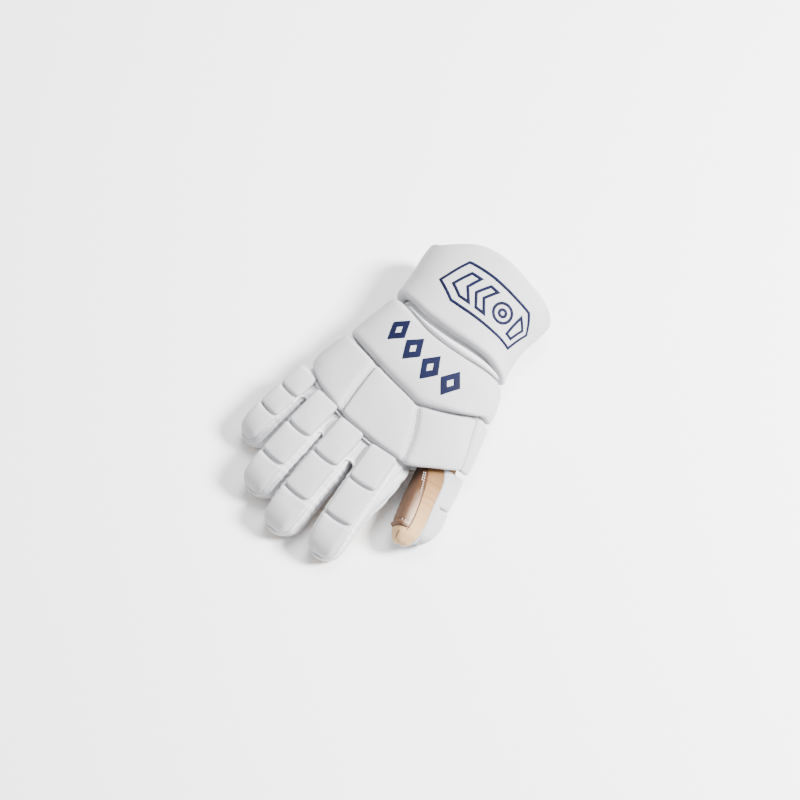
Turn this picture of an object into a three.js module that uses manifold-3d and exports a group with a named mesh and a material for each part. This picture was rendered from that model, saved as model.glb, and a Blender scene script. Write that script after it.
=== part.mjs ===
// A right-hand ice hockey glove lying palm down, as an assembly of sewn pads, sleeves and panels.
// Millimetres. +Z is up, the fingers point toward -Y, the cuff opens toward +Y, the thumb is on the +X side.
import * as THREE from 'three';
import Module from 'manifold-3d';

const wasm = await Module();
wasm.setup();

// ---------------------------------------------------------------- driving dimensions

const GAP = 0.4; // between pieces that touch
const FOAM_GAP = 1.1; // between a cover's crown and the foam in it
const FABRIC = 1.2; // thickness of a pad's cover
const LINER = 1.5; // thickness of a sleeve or liner wall
const BACK_PAD = 13; // depth of the pads on the back of the hand, the roll and the cuff
const SHOULDER = 3; // how far a pad's rim lies below its crown

// Outer form of the hand and cuff: [y, pinky edge x, thumb edge x, crown z].
const SECTIONS = [
  [-70, -72, 116, 62],
  [-30, -78, 122, 69],
  [15, -70, 107, 77],
  [51, -63, 99, 80],
  [80, -60, 83, 82],
  [100, -61, 77.5, 83],
  [125, -66, 77, 86],
  [145, -69, 81, 88],
  [165, -69, 79, 88],
];
const EDGE_Z = 28; // height of the widest line round the glove
const UNDER_Z = 3.5; // height that the rounded edges would reach under the glove
const SECTION_POWER = 2 / 2.4; // superellipse exponent of the cross-section

// Seams across the back, as [angle round the back, y]. 0 is the pinky edge, 90 the crown, 180 the thumb edge.
const KNUCKLE_EDGE = [
  [-30, -26], [7, -32], [45, -52], [75, -63], [95, -66],
  [122, -63], [140, -47], [161, -32], [210, -18],
];
const ROLL_LOW = [[-30, 22], [20, 13], [101, -10], [160, 26], [210, 34]];
const ROLL_HIGH = [
  [-30, 73], [6, 73], [32, 70], [59, 63], [80, 55.5],
  [92, 54], [110, 56], [132, 61], [162, 67], [210, 68],
];
const CUFF_LOW = [
  [-30, 79], [6, 79], [32, 77], [54, 72.5], [75, 68],
  [92, 68], [112, 71], [134, 74], [210, 75],
];
const CUFF_RIM = [
  [-30, 144], [3, 144], [43, 140], [58, 147], [70, 155],
  [80, 161], [94, 164], [123, 160], [210, 160],
];
const SEAM_GAP = 1.3; // half of the groove between the roll and the panels in front of it
const PANEL_GAP = 0.5; // from a seam's middle to a panel's edge, degrees
const PINKY_SEAM = [71, 72]; // angle of the seam at the roll, and at the knuckles
const THUMB_SEAM = [101, 116];
const BOXING_SEAM = [153, 164];
const BACK_WRAP = [-16, 203]; // how far the pads wrap round the two edges
const ROLL_WRAP = [-10, 189];
const PANELS = { // size across and along each panel
  pinky: [75, 55],
  middle: [60, 55],
  edge: [34, 55],
};
const ROLL_SIZE = [230, 55];
const CUFF_SIZE = [225, 85];
const FLEX_STRIP = { wrap: [55, 160], sunk: 3.5, thick: 8, clear: 1.2 };
const SHIELD = { margin: [14, 7], under: 2.2, thick: 1.6 }; // the plate in the cuff
const CUFF_LINING_Y = [83, 120, 139]; // rings of the cuff's lining

// Fingers: root of the sleeve's axis, turn in plan, roll, pitch added at each joint, lengths,
// and half sizes of the sleeve and sizes of the pad.
const FINGERS = [
  {
    name: 'pinky', root: [-63, -43.5, 30], yaw: -10, roll: -9, pitch: [9, 4, 4],
    lengths: [25, 26, 39], half: [15.5, 11.5], pad: [25, 10],
  },
  {
    name: 'ring', root: [-30, -55, 36], yaw: -4, roll: -3, pitch: [8, 5, 7],
    lengths: [40, 36, 41], half: [17, 12.5], pad: [28.5, 11],
  },
  {
    name: 'middle', root: [7, -62.5, 37.5], yaw: -1, roll: 0, pitch: [8, 5, 6],
    lengths: [40, 42, 45], half: [18, 12.5], pad: [29.5, 11],
  },
  {
    name: 'index', root: [47, -63.5, 36.6], yaw: 5, roll: 2, pitch: [8, 5, 7],
    lengths: [37, 39, 43], half: [18, 12.5], pad: [29.5, 11],
  },
];
const KNUCKLE_AXIS = [[-66, -41, 29], [48, -61, 36]]; // two points of the hinge line across the knuckles
const MID_FOLD = 33; // half of the wedge cut under the middle joint, degrees
const TIP_FOLD = 21;
const PAD_MARGIN = 0.5; // from a joint's axis to the end of a pad
const SLEEVE_END = 0.6; // from a joint's axis to the end of a sleeve
const CROTCHES = [[-48, -66.5], [-14, -86], [29, -91]]; // where the fingers part, x and y

// Thumb.
const THUMB = {
  root: [92.5, -40.5, 24.6], yaw: 15, pitch: 3, roll: 115, lengths: [33, 49],
  half: [17, 16.5], pad: [26, 11],
};
const THUMB_TIP_TURN = -2; // the tip turns back a little from the base
const THUMB_PAD_START = 5; // the base pad starts this far behind the base joint
const PAD_CROWN = 1.6; // how much a digit's pad stands higher along its middle
const SQUARE_LOSS = 0.08; // how far its corners draw in, as part of its size
const TIP_THIN = 0.45; // how much of its depth a tip pad has lost at its end
const WEB = { width: 12, height: 15, drop: 3, back: 6 }; // blocks between the fingers in the knuckle row
const BORE_BACK = 14; // how far a finger's bore runs back into the knuckle row
const TIP_COVER = 0.9; // part of a fingertip's length that its pad covers
const THUMB_COVER = 0.78;
const THUMB_FOLD = 24;
const SPLINT = { margin: 4, under: 2, thick: 1.4 }; // the plate in the base pad
const LEATHER = { part: [0.2, 0.88], turn: [205, 335], rows: [0, 0.294, 0.735, 1], gap: 0.6, thick: 1.6 };

const LINING_GAP = 2.8; // between the pads' feet and the linings, whose faces are coarser
const LINER_FRONT = 5; // how far behind the knuckle hinge the hand liner starts
const LINER_SHORT = 4; // how far it stops short of the roll's seam and of the palm's end
const LINER_BACK = 14; // where it stops at the two edges
const LINER_RIGHT = [[-66, 68], [-35, 72], [0, 88]]; // y and x where the hand liner stops, short of the thumb
const THUMB_HOLE = { centre: [73, -32, 27], radius: 12 };
const KNUCKLE_FOLD = 22; // half of the wedge under the knuckles, degrees
const PALM_FRONT = 10; // how far behind the knuckle hinge the palm starts
const PALM_END = 44;
const PALM_THICK = 1.8;
const PALM_MARGIN = 10; // how far inside the pinky edge the palm stops
const PALM_ARCH = { y: -56, rise: 12 }; // how high the palm has arched by this y
const PALM_LIP = 4; // how far the palm's two sides turn up
const HEEL = { x: [-38, 70], y: [-8, 42], height: 3, round: 14 };
const WRIST_Y = [12, 68]; // hinge lines of the roll and of the cuff
const CUFF_FOLD = 6; // how far the cuff tips back, degrees

// ---------------------------------------------------------------- small helpers

const radians = THREE.MathUtils.degToRad;
const lerp = THREE.MathUtils.lerp;

function signedPower(value, power) {
  return Math.sign(value) * Math.abs(value) ** power;
}

// Straight-line reading of a table of [key, value...] rows.
function readTable(table, key, column = 1) {
  const last = table.length - 1;
  if (key <= table[0][0]) return table[0][column];
  if (key >= table[last][0]) return table[last][column];
  const after = table.findIndex((row) => row[0] > key);
  const [low, high] = [table[after - 1], table[after]];
  return lerp(low[column], high[column], (key - low[0]) / (high[0] - low[0]));
}

function steps(count) {
  return Array.from({ length: count + 1 }, (_, i) => i / count);
}

// ---------------------------------------------------------------- solids from points

class Surface {
  constructor() {
    this.points = [];
    this.faces = [];
    this.known = new Map();
  }

  add(point) {
    const key = point.map((value) => Math.round(value * 1e4)).join(',');
    if (!this.known.has(key)) {
      this.known.set(key, this.points.length);
      this.points.push(point);
    }
    return this.known.get(key);
  }

  triangle(a, b, c) {
    if (a !== b && b !== c && c !== a) this.faces.push(a, b, c);
  }

  quad(a, b, c, d) {
    this.triangle(a, b, c);
    this.triangle(a, c, d);
  }

  // Joins two rows of points of the same length with quads.
  strip(first, second, closed = false) {
    const count = closed ? first.length : first.length - 1;
    for (let i = 0; i < count; i += 1) {
      const j = (i + 1) % first.length;
      this.quad(first[i], first[j], second[j], second[i]);
    }
  }

  // Faces out whichever way round the rows were given.
  geometry() {
    const corner = (i) => new THREE.Vector3(...this.points[i]);
    let volume = 0;
    for (let i = 0; i < this.faces.length; i += 3) {
      const [a, b, c] = [0, 1, 2].map((k) => corner(this.faces[i + k]));
      volume += a.dot(b.cross(c));
    }
    if (volume < 0) this.faces.reverse();
    const geometry = new THREE.BufferGeometry();
    geometry.setAttribute('position', new THREE.Float32BufferAttribute(this.points.flat(), 3));
    geometry.setIndex(this.faces);
    return geometry;
  }
}

// The edge of a grid of ids, in order round it.
function border(grid) {
  const rows = grid.length - 1;
  const columns = grid[0].length - 1;
  const loop = [];
  for (let i = 0; i < rows; i += 1) loop.push(grid[i][0]);
  for (let j = 0; j < columns; j += 1) loop.push(grid[rows][j]);
  for (let i = rows; i > 0; i -= 1) loop.push(grid[i][columns]);
  for (let j = columns; j > 0; j -= 1) loop.push(grid[0][j]);
  return loop;
}

function addGrid(surface, place, us, vs, depth) {
  return us.map((u) => vs.map((v) => surface.add(place(u, v, depth))));
}

function fillGrid(surface, grid, flip) {
  for (let i = 0; i < grid.length - 1; i += 1) {
    const [first, second] = flip ? [grid[i + 1], grid[i]] : [grid[i], grid[i + 1]];
    surface.strip(first, second);
  }
}

// Leaves a margin, in the pad's own units, round a unit square.
function inset(place, marginU, marginV) {
  return (u, v, depth) => place(marginU + u * (1 - 2 * marginU), marginV + v * (1 - 2 * marginV), depth);
}

// A solid slab between two depths under place(u, v, depth).
function slab(place, us, vs, top, bottom) {
  const surface = new Surface();
  const upper = addGrid(surface, place, us, vs, top);
  const lower = addGrid(surface, place, us, vs, bottom);
  fillGrid(surface, upper, false);
  fillGrid(surface, lower, true);
  surface.strip(border(upper), border(lower), true);
  return surface.geometry();
}

// A pad's cover: a skin with four side walls, open underneath where it is sewn down.
function cover(place, size, us, vs, depth) {
  const surface = new Surface();
  const inside = inset(place, FABRIC / size[0], FABRIC / size[1]);
  const outerTop = addGrid(surface, place, us, vs, 0);
  const outerFoot = border(addGrid(surface, place, us, vs, depth));
  const innerTop = addGrid(surface, inside, us, vs, FABRIC);
  const innerFoot = border(addGrid(surface, inside, us, vs, depth));
  fillGrid(surface, outerTop, false);
  surface.strip(border(outerTop), outerFoot, true);
  surface.strip(outerFoot, innerFoot, true);
  surface.strip(innerFoot, border(innerTop), true);
  fillGrid(surface, innerTop, true);
  return surface.geometry();
}

// Only the points that a geometry's faces use.
function compact(geometry) {
  const index = Array.from(geometry.index.array);
  const source = geometry.attributes.position;
  const renamed = new Map();
  const points = [];
  const faces = index.map((i) => {
    if (!renamed.has(i)) {
      renamed.set(i, renamed.size);
      points.push(source.getX(i), source.getY(i), source.getZ(i));
    }
    return renamed.get(i);
  });
  const result = new THREE.BufferGeometry();
  result.setAttribute('position', new THREE.Float32BufferAttribute(points, 3));
  result.setIndex(faces);
  return result;
}

// The foam inside a cover, from below its skin down to the cover's foot.
function foam(place, size, us, vs, top, depth) {
  const margin = FABRIC + FOAM_GAP;
  return slab(inset(place, margin / size[0], margin / size[1]), us, vs, top, depth);
}

// A tube through rings of points. A point instead of the last ring closes it, and inner rings hollow it out.
function tube(outer, inner, closedTip) {
  const surface = new Surface();
  const rows = (rings) => rings.map((ring) => ring.map((point) => surface.add(point)));
  const [skin, lining] = [rows(outer), rows(inner)];
  for (let i = 0; i < skin.length - 1; i += 1) surface.strip(skin[i], skin[i + 1], true);
  for (let i = 0; i < lining.length - 1; i += 1) surface.strip(lining[i + 1], lining[i], true);
  surface.strip(lining[0], skin[0], true);
  if (!closedTip) surface.strip(skin.at(-1), lining.at(-1), true);
  return surface.geometry();
}

// A closed solid through rings, for cutting and joining.
function plug(rings) {
  const surface = new Surface();
  const rows = rings.map((ring) => ring.map((point) => surface.add(point)));
  for (let i = 0; i < rows.length - 1; i += 1) surface.strip(rows[i], rows[i + 1], true);
  for (const [row, ring] of [[rows[0], rings[0]], [rows.at(-1), rings.at(-1)]]) {
    const centre = [0, 1, 2].map((axis) => ring.reduce((sum, point) => sum + point[axis], 0) / ring.length);
    const hub = surface.add(centre);
    for (let i = 0; i < row.length; i += 1) {
      const j = (i + 1) % row.length;
      if (row === rows[0]) surface.triangle(row[j], row[i], hub);
      else surface.triangle(row[i], row[j], hub);
    }
  }
  return surface.geometry();
}

function toManifold(geometry, matrix) {
  const placed = compact(geometry);
  if (matrix) placed.applyMatrix4(matrix);
  return new wasm.Manifold(new wasm.Mesh({
    numProp: 3,
    vertProperties: new Float32Array(placed.attributes.position.array),
    triVerts: new Uint32Array(placed.index.array),
  }));
}

function fromManifold(solid) {
  const mesh = solid.getMesh();
  const geometry = new THREE.BufferGeometry();
  geometry.setAttribute('position', new THREE.BufferAttribute(new Float32Array(mesh.vertProperties), 3));
  geometry.setIndex(new THREE.BufferAttribute(new Uint32Array(mesh.triVerts), 1));
  return geometry;
}

// ---------------------------------------------------------------- materials

function material(color, roughness) {
  return new THREE.MeshStandardMaterial({ color, roughness, metalness: 0 });
}

const WHITE_KNIT = material(0xe6e6e8, 0.85);
const SIDE_KNIT = material(0xd6d6da, 0.9);
const FOAM = material(0xf0e7c8, 0.95);
const LINING = material(0xcfd0d4, 0.95);
const PALM = material(0xc9a983, 0.7);
const PATCH = material(0x9b7a64, 0.75);
const PLASTIC = material(0x3a3d42, 0.5);

function piece(name, geometry, look, parent) {
  const mesh = new THREE.Mesh(geometry, look);
  mesh.name = name;
  parent.add(mesh);
}

// ---------------------------------------------------------------- back of the hand, roll and cuff

// Point of the glove's outer form, a given depth inside it.
function onBack(angle, y, depth) {
  const [left, right, top] = [1, 2, 3].map((column) => readTable(SECTIONS, y, column));
  const [across, up] = [Math.cos(radians(angle)), Math.sin(radians(angle))];
  const under = EDGE_Z - UNDER_Z - Math.max(0, depth - BACK_PAD);
  const reach = up >= 0 ? top - EDGE_Z - depth : under;
  return [
    (left + right) / 2 - ((right - left) / 2 - depth) * signedPower(across, SECTION_POWER),
    y,
    EDGE_Z + reach * signedPower(up, SECTION_POWER),
  ];
}

// Lowers a pad's rim below its crown without moving its foot.
function rimDrop(u, v, depth, full) {
  const edge = Math.max(Math.abs(2 * u - 1), Math.abs(2 * v - 1));
  return SHOULDER * edge ** 6 * (1 - depth / full);
}

// A pad on the back, between two angles (each given at the cuff side and at the finger side) and two seams.
function backPlace(from, to, low, high) {
  return (u, v, depth) => {
    const angle = lerp(lerp(from[1], from[0], v), lerp(to[1], to[0], v), u);
    const y = lerp(low(angle), high(angle), v);
    return onBack(angle, y, depth + rimDrop(u, v, depth, BACK_PAD));
  };
}

const RIM_STEPS = [0, 0.07, 0.5, 0.93, 1];

function withRims(count) {
  return [0, 0.04, ...steps(count).slice(1, -1), 0.96, 1];
}

function addPad(name, place, size, us, vs, depth, parent) {
  piece(`${name}_cover`, compact(cover(place, size, us, vs, depth)), WHITE_KNIT, parent);
  piece(`${name}_foam`, foam(place, size, us, vs, FABRIC + FOAM_GAP, depth), FOAM, parent);
}

function addBackPanels(hand) {
  const low = (angle) => readTable(KNUCKLE_EDGE, angle) + SEAM_GAP;
  const high = (angle) => readTable(ROLL_LOW, angle) - SEAM_GAP;
  const away = (seam, shift) => seam.map((angle) => angle + shift);
  const ends = BACK_WRAP.map((angle) => [angle, angle]);
  const panels = [
    ['pinky_side_panel', ends[0], away(PINKY_SEAM, -PANEL_GAP), PANELS.pinky, 9],
    ['centre_panel', away(PINKY_SEAM, PANEL_GAP), away(THUMB_SEAM, -PANEL_GAP), PANELS.middle, 5],
    ['thumb_side_panel', away(THUMB_SEAM, PANEL_GAP), away(BOXING_SEAM, -PANEL_GAP), PANELS.middle, 5],
    ['thumb_edge_boxing', away(BOXING_SEAM, PANEL_GAP), ends[1], PANELS.edge, 3],
  ];
  for (const [name, from, to, size, count] of panels) {
    addPad(name, backPlace(from, to, low, high), size, withRims(count), RIM_STEPS, BACK_PAD, hand);
  }
}

function addRoll(roll) {
  const low = (angle) => readTable(ROLL_LOW, angle) + SEAM_GAP;
  const high = (angle) => readTable(ROLL_HIGH, angle);
  const place = backPlace([ROLL_WRAP[0], ROLL_WRAP[0]], [ROLL_WRAP[1], ROLL_WRAP[1]], low, high);
  addPad('wrist_roll', place, ROLL_SIZE, withRims(15), RIM_STEPS, BACK_PAD, roll);
}

// The narrow padded strip in the groove in front of the cuff, clear of the cuff when it tips back.
function addFlexStrip(roll) {
  const { wrap, sunk, thick, clear } = FLEX_STRIP;
  const place = (u, v, depth) => {
    const angle = lerp(wrap[0], wrap[1], u);
    const rise = onBack(angle, WRIST_Y[1], 0)[2] - EDGE_Z;
    const near = readTable(ROLL_HIGH, angle) + 1;
    const far = readTable(CUFF_LOW, angle) - clear - rise * Math.tan(radians(CUFF_FOLD));
    return onBack(angle, lerp(near, far, v), depth);
  };
  piece('wrist_flex_strip', slab(place, steps(9), [0, 0.5, 1], sunk, sunk + thick), SIDE_KNIT, roll);
}

function addCuff(cuff) {
  const low = (angle) => readTable(CUFF_LOW, angle);
  const high = (angle) => readTable(CUFF_RIM, angle);
  const place = backPlace([BACK_WRAP[0], BACK_WRAP[0]], [BACK_WRAP[1], BACK_WRAP[1]], low, high);
  const across = withRims(15);
  piece('cuff_cover', compact(cover(place, CUFF_SIZE, across, RIM_STEPS, BACK_PAD)), WHITE_KNIT, cuff);
  const shield = inset(place, SHIELD.margin[0] / CUFF_SIZE[0], SHIELD.margin[1] / CUFF_SIZE[1]);
  const shieldTop = FABRIC + SHIELD.under;
  const shieldFoot = shieldTop + SHIELD.thick;
  piece('cuff_shield', slab(shield, steps(14), [0, 0.5, 1], shieldTop, shieldFoot), PLASTIC, cuff);
  piece('cuff_foam', foam(place, CUFF_SIZE, across, RIM_STEPS, shieldFoot + FOAM_GAP, BACK_PAD), FOAM, cuff);
  addCuffLining(cuff);
}

// A sleeve right round the wrist opening, which the cuff pad is sewn to.
function addCuffLining(cuff) {
  const sides = 24;
  const angles = steps(sides).slice(0, -1).map((t) => t * 360);
  const ring = (y, extra) => angles.map((angle) => onBack(angle, y, BACK_PAD + LINING_GAP + extra));
  const fit = (point) => [point[0], point[1], Math.max(point[2], HEEL.height)];
  const outer = CUFF_LINING_Y.map((y) => ring(y, 0).map(fit));
  const inner = CUFF_LINING_Y.map((y) => ring(y, LINER).map(fit));
  piece('cuff_lining', tube(outer, inner, false), LINING, cuff);
}

// ---------------------------------------------------------------- hand

function knuckleLine(x) {
  const [first, second] = KNUCKLE_AXIS;
  return lerp(first[1], second[1], (x - first[0]) / (second[0] - first[0]));
}

// The sleeve round the hand, from the knuckles to the roll's seam on top and to the heel underneath.
function addLiner(hand) {
  const sides = 28;
  const ring = (part, thickness) => steps(sides).slice(0, -1).map((t) => {
    const angle = t * 360;
    const depth = BACK_PAD + LINING_GAP + thickness;
    const under = lerp(LINER_BACK, PALM_END - LINER_SHORT, -Math.sin(radians(angle)));
    const back = angle <= 180 ? readTable(ROLL_LOW, angle) - LINER_SHORT : under;
    const guess = onBack(angle, lerp(KNUCKLE_AXIS[1][1], back, part), depth);
    const x = Math.min(guess[0], readTable(LINER_RIGHT, guess[1]) - thickness);
    const below = Math.max(0, KNUCKLE_AXIS[1][2] - guess[2]);
    const front = knuckleLine(x) + LINER_FRONT + below * Math.tan(radians(KNUCKLE_FOLD));
    const y = lerp(front, back, part);
    const z = onBack(angle, y, depth)[2];
    return [x, y, Math.max(z, palmFloor(y) + PALM_THICK + PALM_LIP + GAP + thickness)];
  });
  const along = steps(5);
  const shell = tube(along.map((part) => ring(part, 0)), along.map((part) => ring(part, LINER)), false);
  const { centre, radius } = THUMB_HOLE;
  const hole = new THREE.CylinderGeometry(radius, radius, 3 * radius, 16);
  const way = new THREE.Matrix4().makeRotationZ(Math.PI / 2).setPosition(...centre);
  const cut = toManifold(compact(shell)).subtract(toManifold(mergedByPosition(hole), way));
  piece('hand_liner', fromManifold(cut), LINING, hand);
}

function mergedByPosition(geometry) {
  const surface = new Surface();
  const position = geometry.attributes.position;
  const ids = Array.from({ length: position.count }, (_, i) => (
    surface.add([position.getX(i), position.getY(i), position.getZ(i)])));
  const index = geometry.index.array;
  for (let i = 0; i < index.length; i += 3) {
    surface.triangle(ids[index[i]], ids[index[i + 1]], ids[index[i + 2]]);
  }
  return surface.geometry();
}

// Height of the palm's underside: flat at the heel, arched up to the knuckles.
function palmFloor(y) {
  const start = HEEL.y[0] - 4;
  const arch = Math.max(0, (start - y) / (start - PALM_ARCH.y));
  return HEEL.height + GAP + PALM_ARCH.rise * arch ** 1.5;
}

function addPalm(hand) {
  const left = (y) => readTable(SECTIONS, y, 1) + PALM_MARGIN;
  const right = (y) => readTable(LINER_RIGHT, y) + LINER * 2;
  const place = (u, v, depth) => {
    const side = Math.abs(2 * u - 1) ** 6;
    const guess = lerp(PALM_END, PALM_ARCH.y, v);
    const x = lerp(left(guess), right(guess), u);
    const y = lerp(PALM_END, knuckleLine(x) + PALM_FRONT, v);
    return [x, y, palmFloor(y) + PALM_LIP * side + PALM_THICK - depth];
  };
  piece('palm_leather', slab(place, withRims(8), steps(6), 0, PALM_THICK), PALM, hand);
}

function addHeelPad(hand) {
  const outline = new THREE.Shape();
  const [x0, x1] = HEEL.x;
  const [y0, y1] = HEEL.y;
  const { round } = HEEL;
  outline.moveTo(x0 + round, y0);
  outline.lineTo(x1 - round, y0);
  outline.absarc(x1 - round, y0 + round, round, -Math.PI / 2, 0);
  outline.absarc(x1 - round, y1 - round, round, 0, Math.PI / 2);
  outline.absarc(x0 + round, y1 - round, round, Math.PI / 2, Math.PI);
  outline.absarc(x0 + round, y0 + round, round, Math.PI, Math.PI * 1.5);
  const settings = { depth: HEEL.height, bevelEnabled: false, curveSegments: 5 };
  const block = new THREE.ExtrudeGeometry(outline, settings);
  piece('palm_heel_pad', mergedByPosition(indexed(block)), PATCH, hand);
}

function indexed(geometry) {
  if (!geometry.index) {
    geometry.setIndex(Array.from({ length: geometry.attributes.position.count }, (_, i) => i));
  }
  return geometry;
}

// ---------------------------------------------------------------- fingers

const SLEEVE_SIDES = 14;
const SLEEVE_POWER = 2 / 3;

// One ring of a sleeve, in the segment's own frame: the joint's axis is its X, and -Y points to the tip.
function sleeveRing(half, reach, fold, scale = [1, 1], lift = 0) {
  return steps(SLEEVE_SIDES).slice(0, -1).map((t) => {
    const [across, up] = [Math.cos(t * 2 * Math.PI), Math.sin(t * 2 * Math.PI)];
    const x = half[0] * scale[0] * signedPower(across, SLEEVE_POWER);
    const z = lift + half[1] * scale[1] * signedPower(up, SLEEVE_POWER);
    return [x, reach + Math.max(0, -z) * Math.tan(radians(fold)), z];
  });
}

function thinner(half) {
  return half.map((value) => value - LINER);
}

function midSleeve(half, length, startFold, endFold) {
  const rings = (size) => [
    sleeveRing(size, -SLEEVE_END, -startFold),
    sleeveRing(size, SLEEVE_END - length, endFold),
  ];
  return tube(rings(half), rings(thinner(half)), false);
}

// How the tip narrows: part of the length, width, height and lift of its middle.
const TIP_FORM = [
  [0, 1, 1, 0],
  [0.4, 0.99, 0.97, -0.2],
  [0.7, 0.9, 0.86, -0.9],
  [0.88, 0.7, 0.66, -2],
  [0.97, 0.4, 0.38, -3],
];

function tipSleeve(half, length, startFold) {
  const rings = (size, reach) => TIP_FORM.map(([part, wide, high, lift], i) => (
    sleeveRing(size, i ? -part * reach : -SLEEVE_END, i ? 0 : -startFold, [wide, high], lift)));
  const apex = (reach) => [[0, -reach, TIP_FORM.at(-1)[3]]];
  const close = (list, reach) => {
    const point = apex(reach)[0];
    return [...list, list[0].map(() => point)];
  };
  const outer = close(rings(half, length), length);
  const inner = close(rings(thinner(half), length - 2 * LINER), length - 2 * LINER);
  return tube(outer, inner, true);
}

// A flat-footed pad on top of a straight sleeve.
function straightPad(half, pad, start, end) {
  return (u, v, depth) => {
    const [s, t] = [2 * u - 1, 2 * v - 1];
    const corner = 1 - SQUARE_LOSS * s * s * t * t;
    const x = (pad[0] / 2) * s * corner;
    const y = lerp(start, end, 0.5 + (t * corner) / 2);
    const drop = PAD_CROWN * s * s * (1 - depth / pad[1]) + rimDrop(u, v, depth, pad[1]);
    return [x, y, half[1] + GAP + pad[1] - depth - drop];
  };
}

// The pad on a tip follows the sleeve's top down and rounds off with it.
function tipPad(half, pad, length, covered) {
  const form = (part, column) => readTable(TIP_FORM, part, column);
  return (u, v, depth) => {
    const s = 2 * u - 1;
    const part = v * covered;
    const x = (pad[0] / 2) * s * form(part, 1) ** 0.9;
    const top = form(part, 3) + half[1] * form(part, 2);
    const thin = 1 - TIP_THIN * v ** 4;
    const drop = PAD_CROWN * s * s * (1 - depth / pad[1]) + rimDrop(u, v, depth, pad[1]);
    return [x, -PAD_MARGIN - part * length, top + 2 * GAP + (pad[1] - depth - drop) * thin];
  };
}

const PAD_ACROSS = [0, 0.1, 0.5, 0.9, 1];

function tipSteps(covered) {
  const inside = TIP_FORM.map((row) => row[0] / covered).filter((v) => v > 0 && v < 0.99);
  return [0, 0.08, ...inside, 1];
}

function fingerFrames(finger, knuckles) {
  const base = new THREE.Group();
  base.position.set(...finger.root);
  base.rotation.set(radians(finger.pitch[0]), radians(finger.roll), radians(finger.yaw), 'ZXY');
  knuckles.parent.add(base);
  knuckles.attach(base);
  const mid = new THREE.Group();
  mid.name = `${finger.name}_middle`;
  mid.position.set(0, -finger.lengths[0], 0);
  mid.rotation.x = radians(finger.pitch[1]);
  base.add(mid);
  const tip = new THREE.Group();
  tip.name = `${finger.name}_tip`;
  tip.position.set(0, -finger.lengths[1], 0);
  tip.rotation.x = radians(finger.pitch[2]);
  mid.add(tip);
  return { base, mid, tip };
}

function addFinger(finger, knuckles) {
  const { name, lengths, half, pad } = finger;
  const { base, mid, tip } = fingerFrames(finger, knuckles);
  const rows = [['base', base, lengths[0]], ['middle', mid, lengths[1]]];
  for (const [part, group, length] of rows) {
    const place = straightPad(half, pad, -PAD_MARGIN, PAD_MARGIN - length);
    addPad(`${name}_${part}_pad`, place, [pad[0], length], PAD_ACROSS, PAD_ACROSS, pad[1], group);
  }
  piece(`${name}_middle_sleeve`, midSleeve(half, lengths[1], MID_FOLD, TIP_FOLD), SIDE_KNIT, mid);
  const place = tipPad(half, pad, lengths[2], TIP_COVER);
  addPad(`${name}_tip_pad`, place, [pad[0], lengths[2]], PAD_ACROSS, tipSteps(TIP_COVER), pad[1], tip);
  piece(`${name}_tip_sleeve`, tipSleeve(half, lengths[2], TIP_FOLD), SIDE_KNIT, tip);
  return base;
}

// The first joints of all four fingers are sewn into one row: four sleeves and the webs between them.
function addKnuckleShell(bases, knuckles) {
  knuckles.updateWorldMatrix(true, true);
  const toRow = knuckles.matrixWorld.clone().invert();
  const placed = (base) => toRow.clone().multiply(base.matrixWorld);
  const bodies = [];
  const holes = [];
  FINGERS.forEach((finger, i) => {
    const { half, lengths } = finger;
    const matrix = placed(bases[i]);
    const end = SLEEVE_END - lengths[0];
    const body = [sleeveRing(half, -PAD_MARGIN, -KNUCKLE_FOLD), sleeveRing(half, end, MID_FOLD)];
    bodies.push(toManifold(plug(body), matrix));
    const bore = thinner(half);
    const hole = [sleeveRing(bore, BORE_BACK, 0), sleeveRing(bore, end - WEB.back, MID_FOLD)];
    holes.push(toManifold(plug(hole), matrix));
  });
  const webs = CROTCHES.map(([x, y], i) => {
    const [first, second] = [FINGERS[i].root, FINGERS[i + 1].root];
    const back = Math.max(first[1], second[1]) - WEB.back;
    const box = new THREE.BoxGeometry(WEB.width, back - y, WEB.height);
    const middle = new THREE.Matrix4().makeRotationX(radians(FINGERS[1].pitch[0]));
    const height = (first[2] + second[2]) / 2 - WEB.drop;
    middle.setPosition(x, (back + y) / 2, height);
    return toManifold(mergedByPosition(indexed(box)), toRow.clone().multiply(middle));
  });
  let shell = bodies.concat(webs).reduce((sum, solid) => sum.add(solid));
  shell = holes.reduce((rest, hole) => rest.subtract(hole), shell);
  piece('knuckle_row_sleeve', fromManifold(shell), SIDE_KNIT, knuckles);
}

// ---------------------------------------------------------------- thumb

function addThumb(hand) {
  const hinge = new THREE.Group();
  hinge.name = 'thumb_base';
  hinge.position.set(...THUMB.root);
  hinge.rotation.set(radians(THUMB.pitch), 0, radians(THUMB.yaw), 'ZXY');
  hand.add(hinge);
  const base = new THREE.Group();
  base.rotation.y = radians(THUMB.roll);
  hinge.add(base);
  const tip = new THREE.Group();
  tip.name = 'thumb_tip';
  tip.position.set(0, -THUMB.lengths[0], 0);
  tip.rotation.x = radians(THUMB_TIP_TURN);
  base.add(tip);
  const { half, pad, lengths } = THUMB;
  piece('thumb_base_sleeve', midSleeve(half, lengths[0], 0, THUMB_FOLD), SIDE_KNIT, base);
  addThumbBasePad(base);
  piece('thumb_tip_sleeve', tipSleeve(half, lengths[1], THUMB_FOLD), SIDE_KNIT, tip);
  const place = tipPad(half, pad, lengths[1], THUMB_COVER);
  addPad('thumb_tip_pad', place, [pad[0], lengths[1]], PAD_ACROSS, tipSteps(THUMB_COVER), pad[1], tip);
  piece('thumb_leather', thumbLeather(half, lengths[1]), PALM, tip);
}

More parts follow.
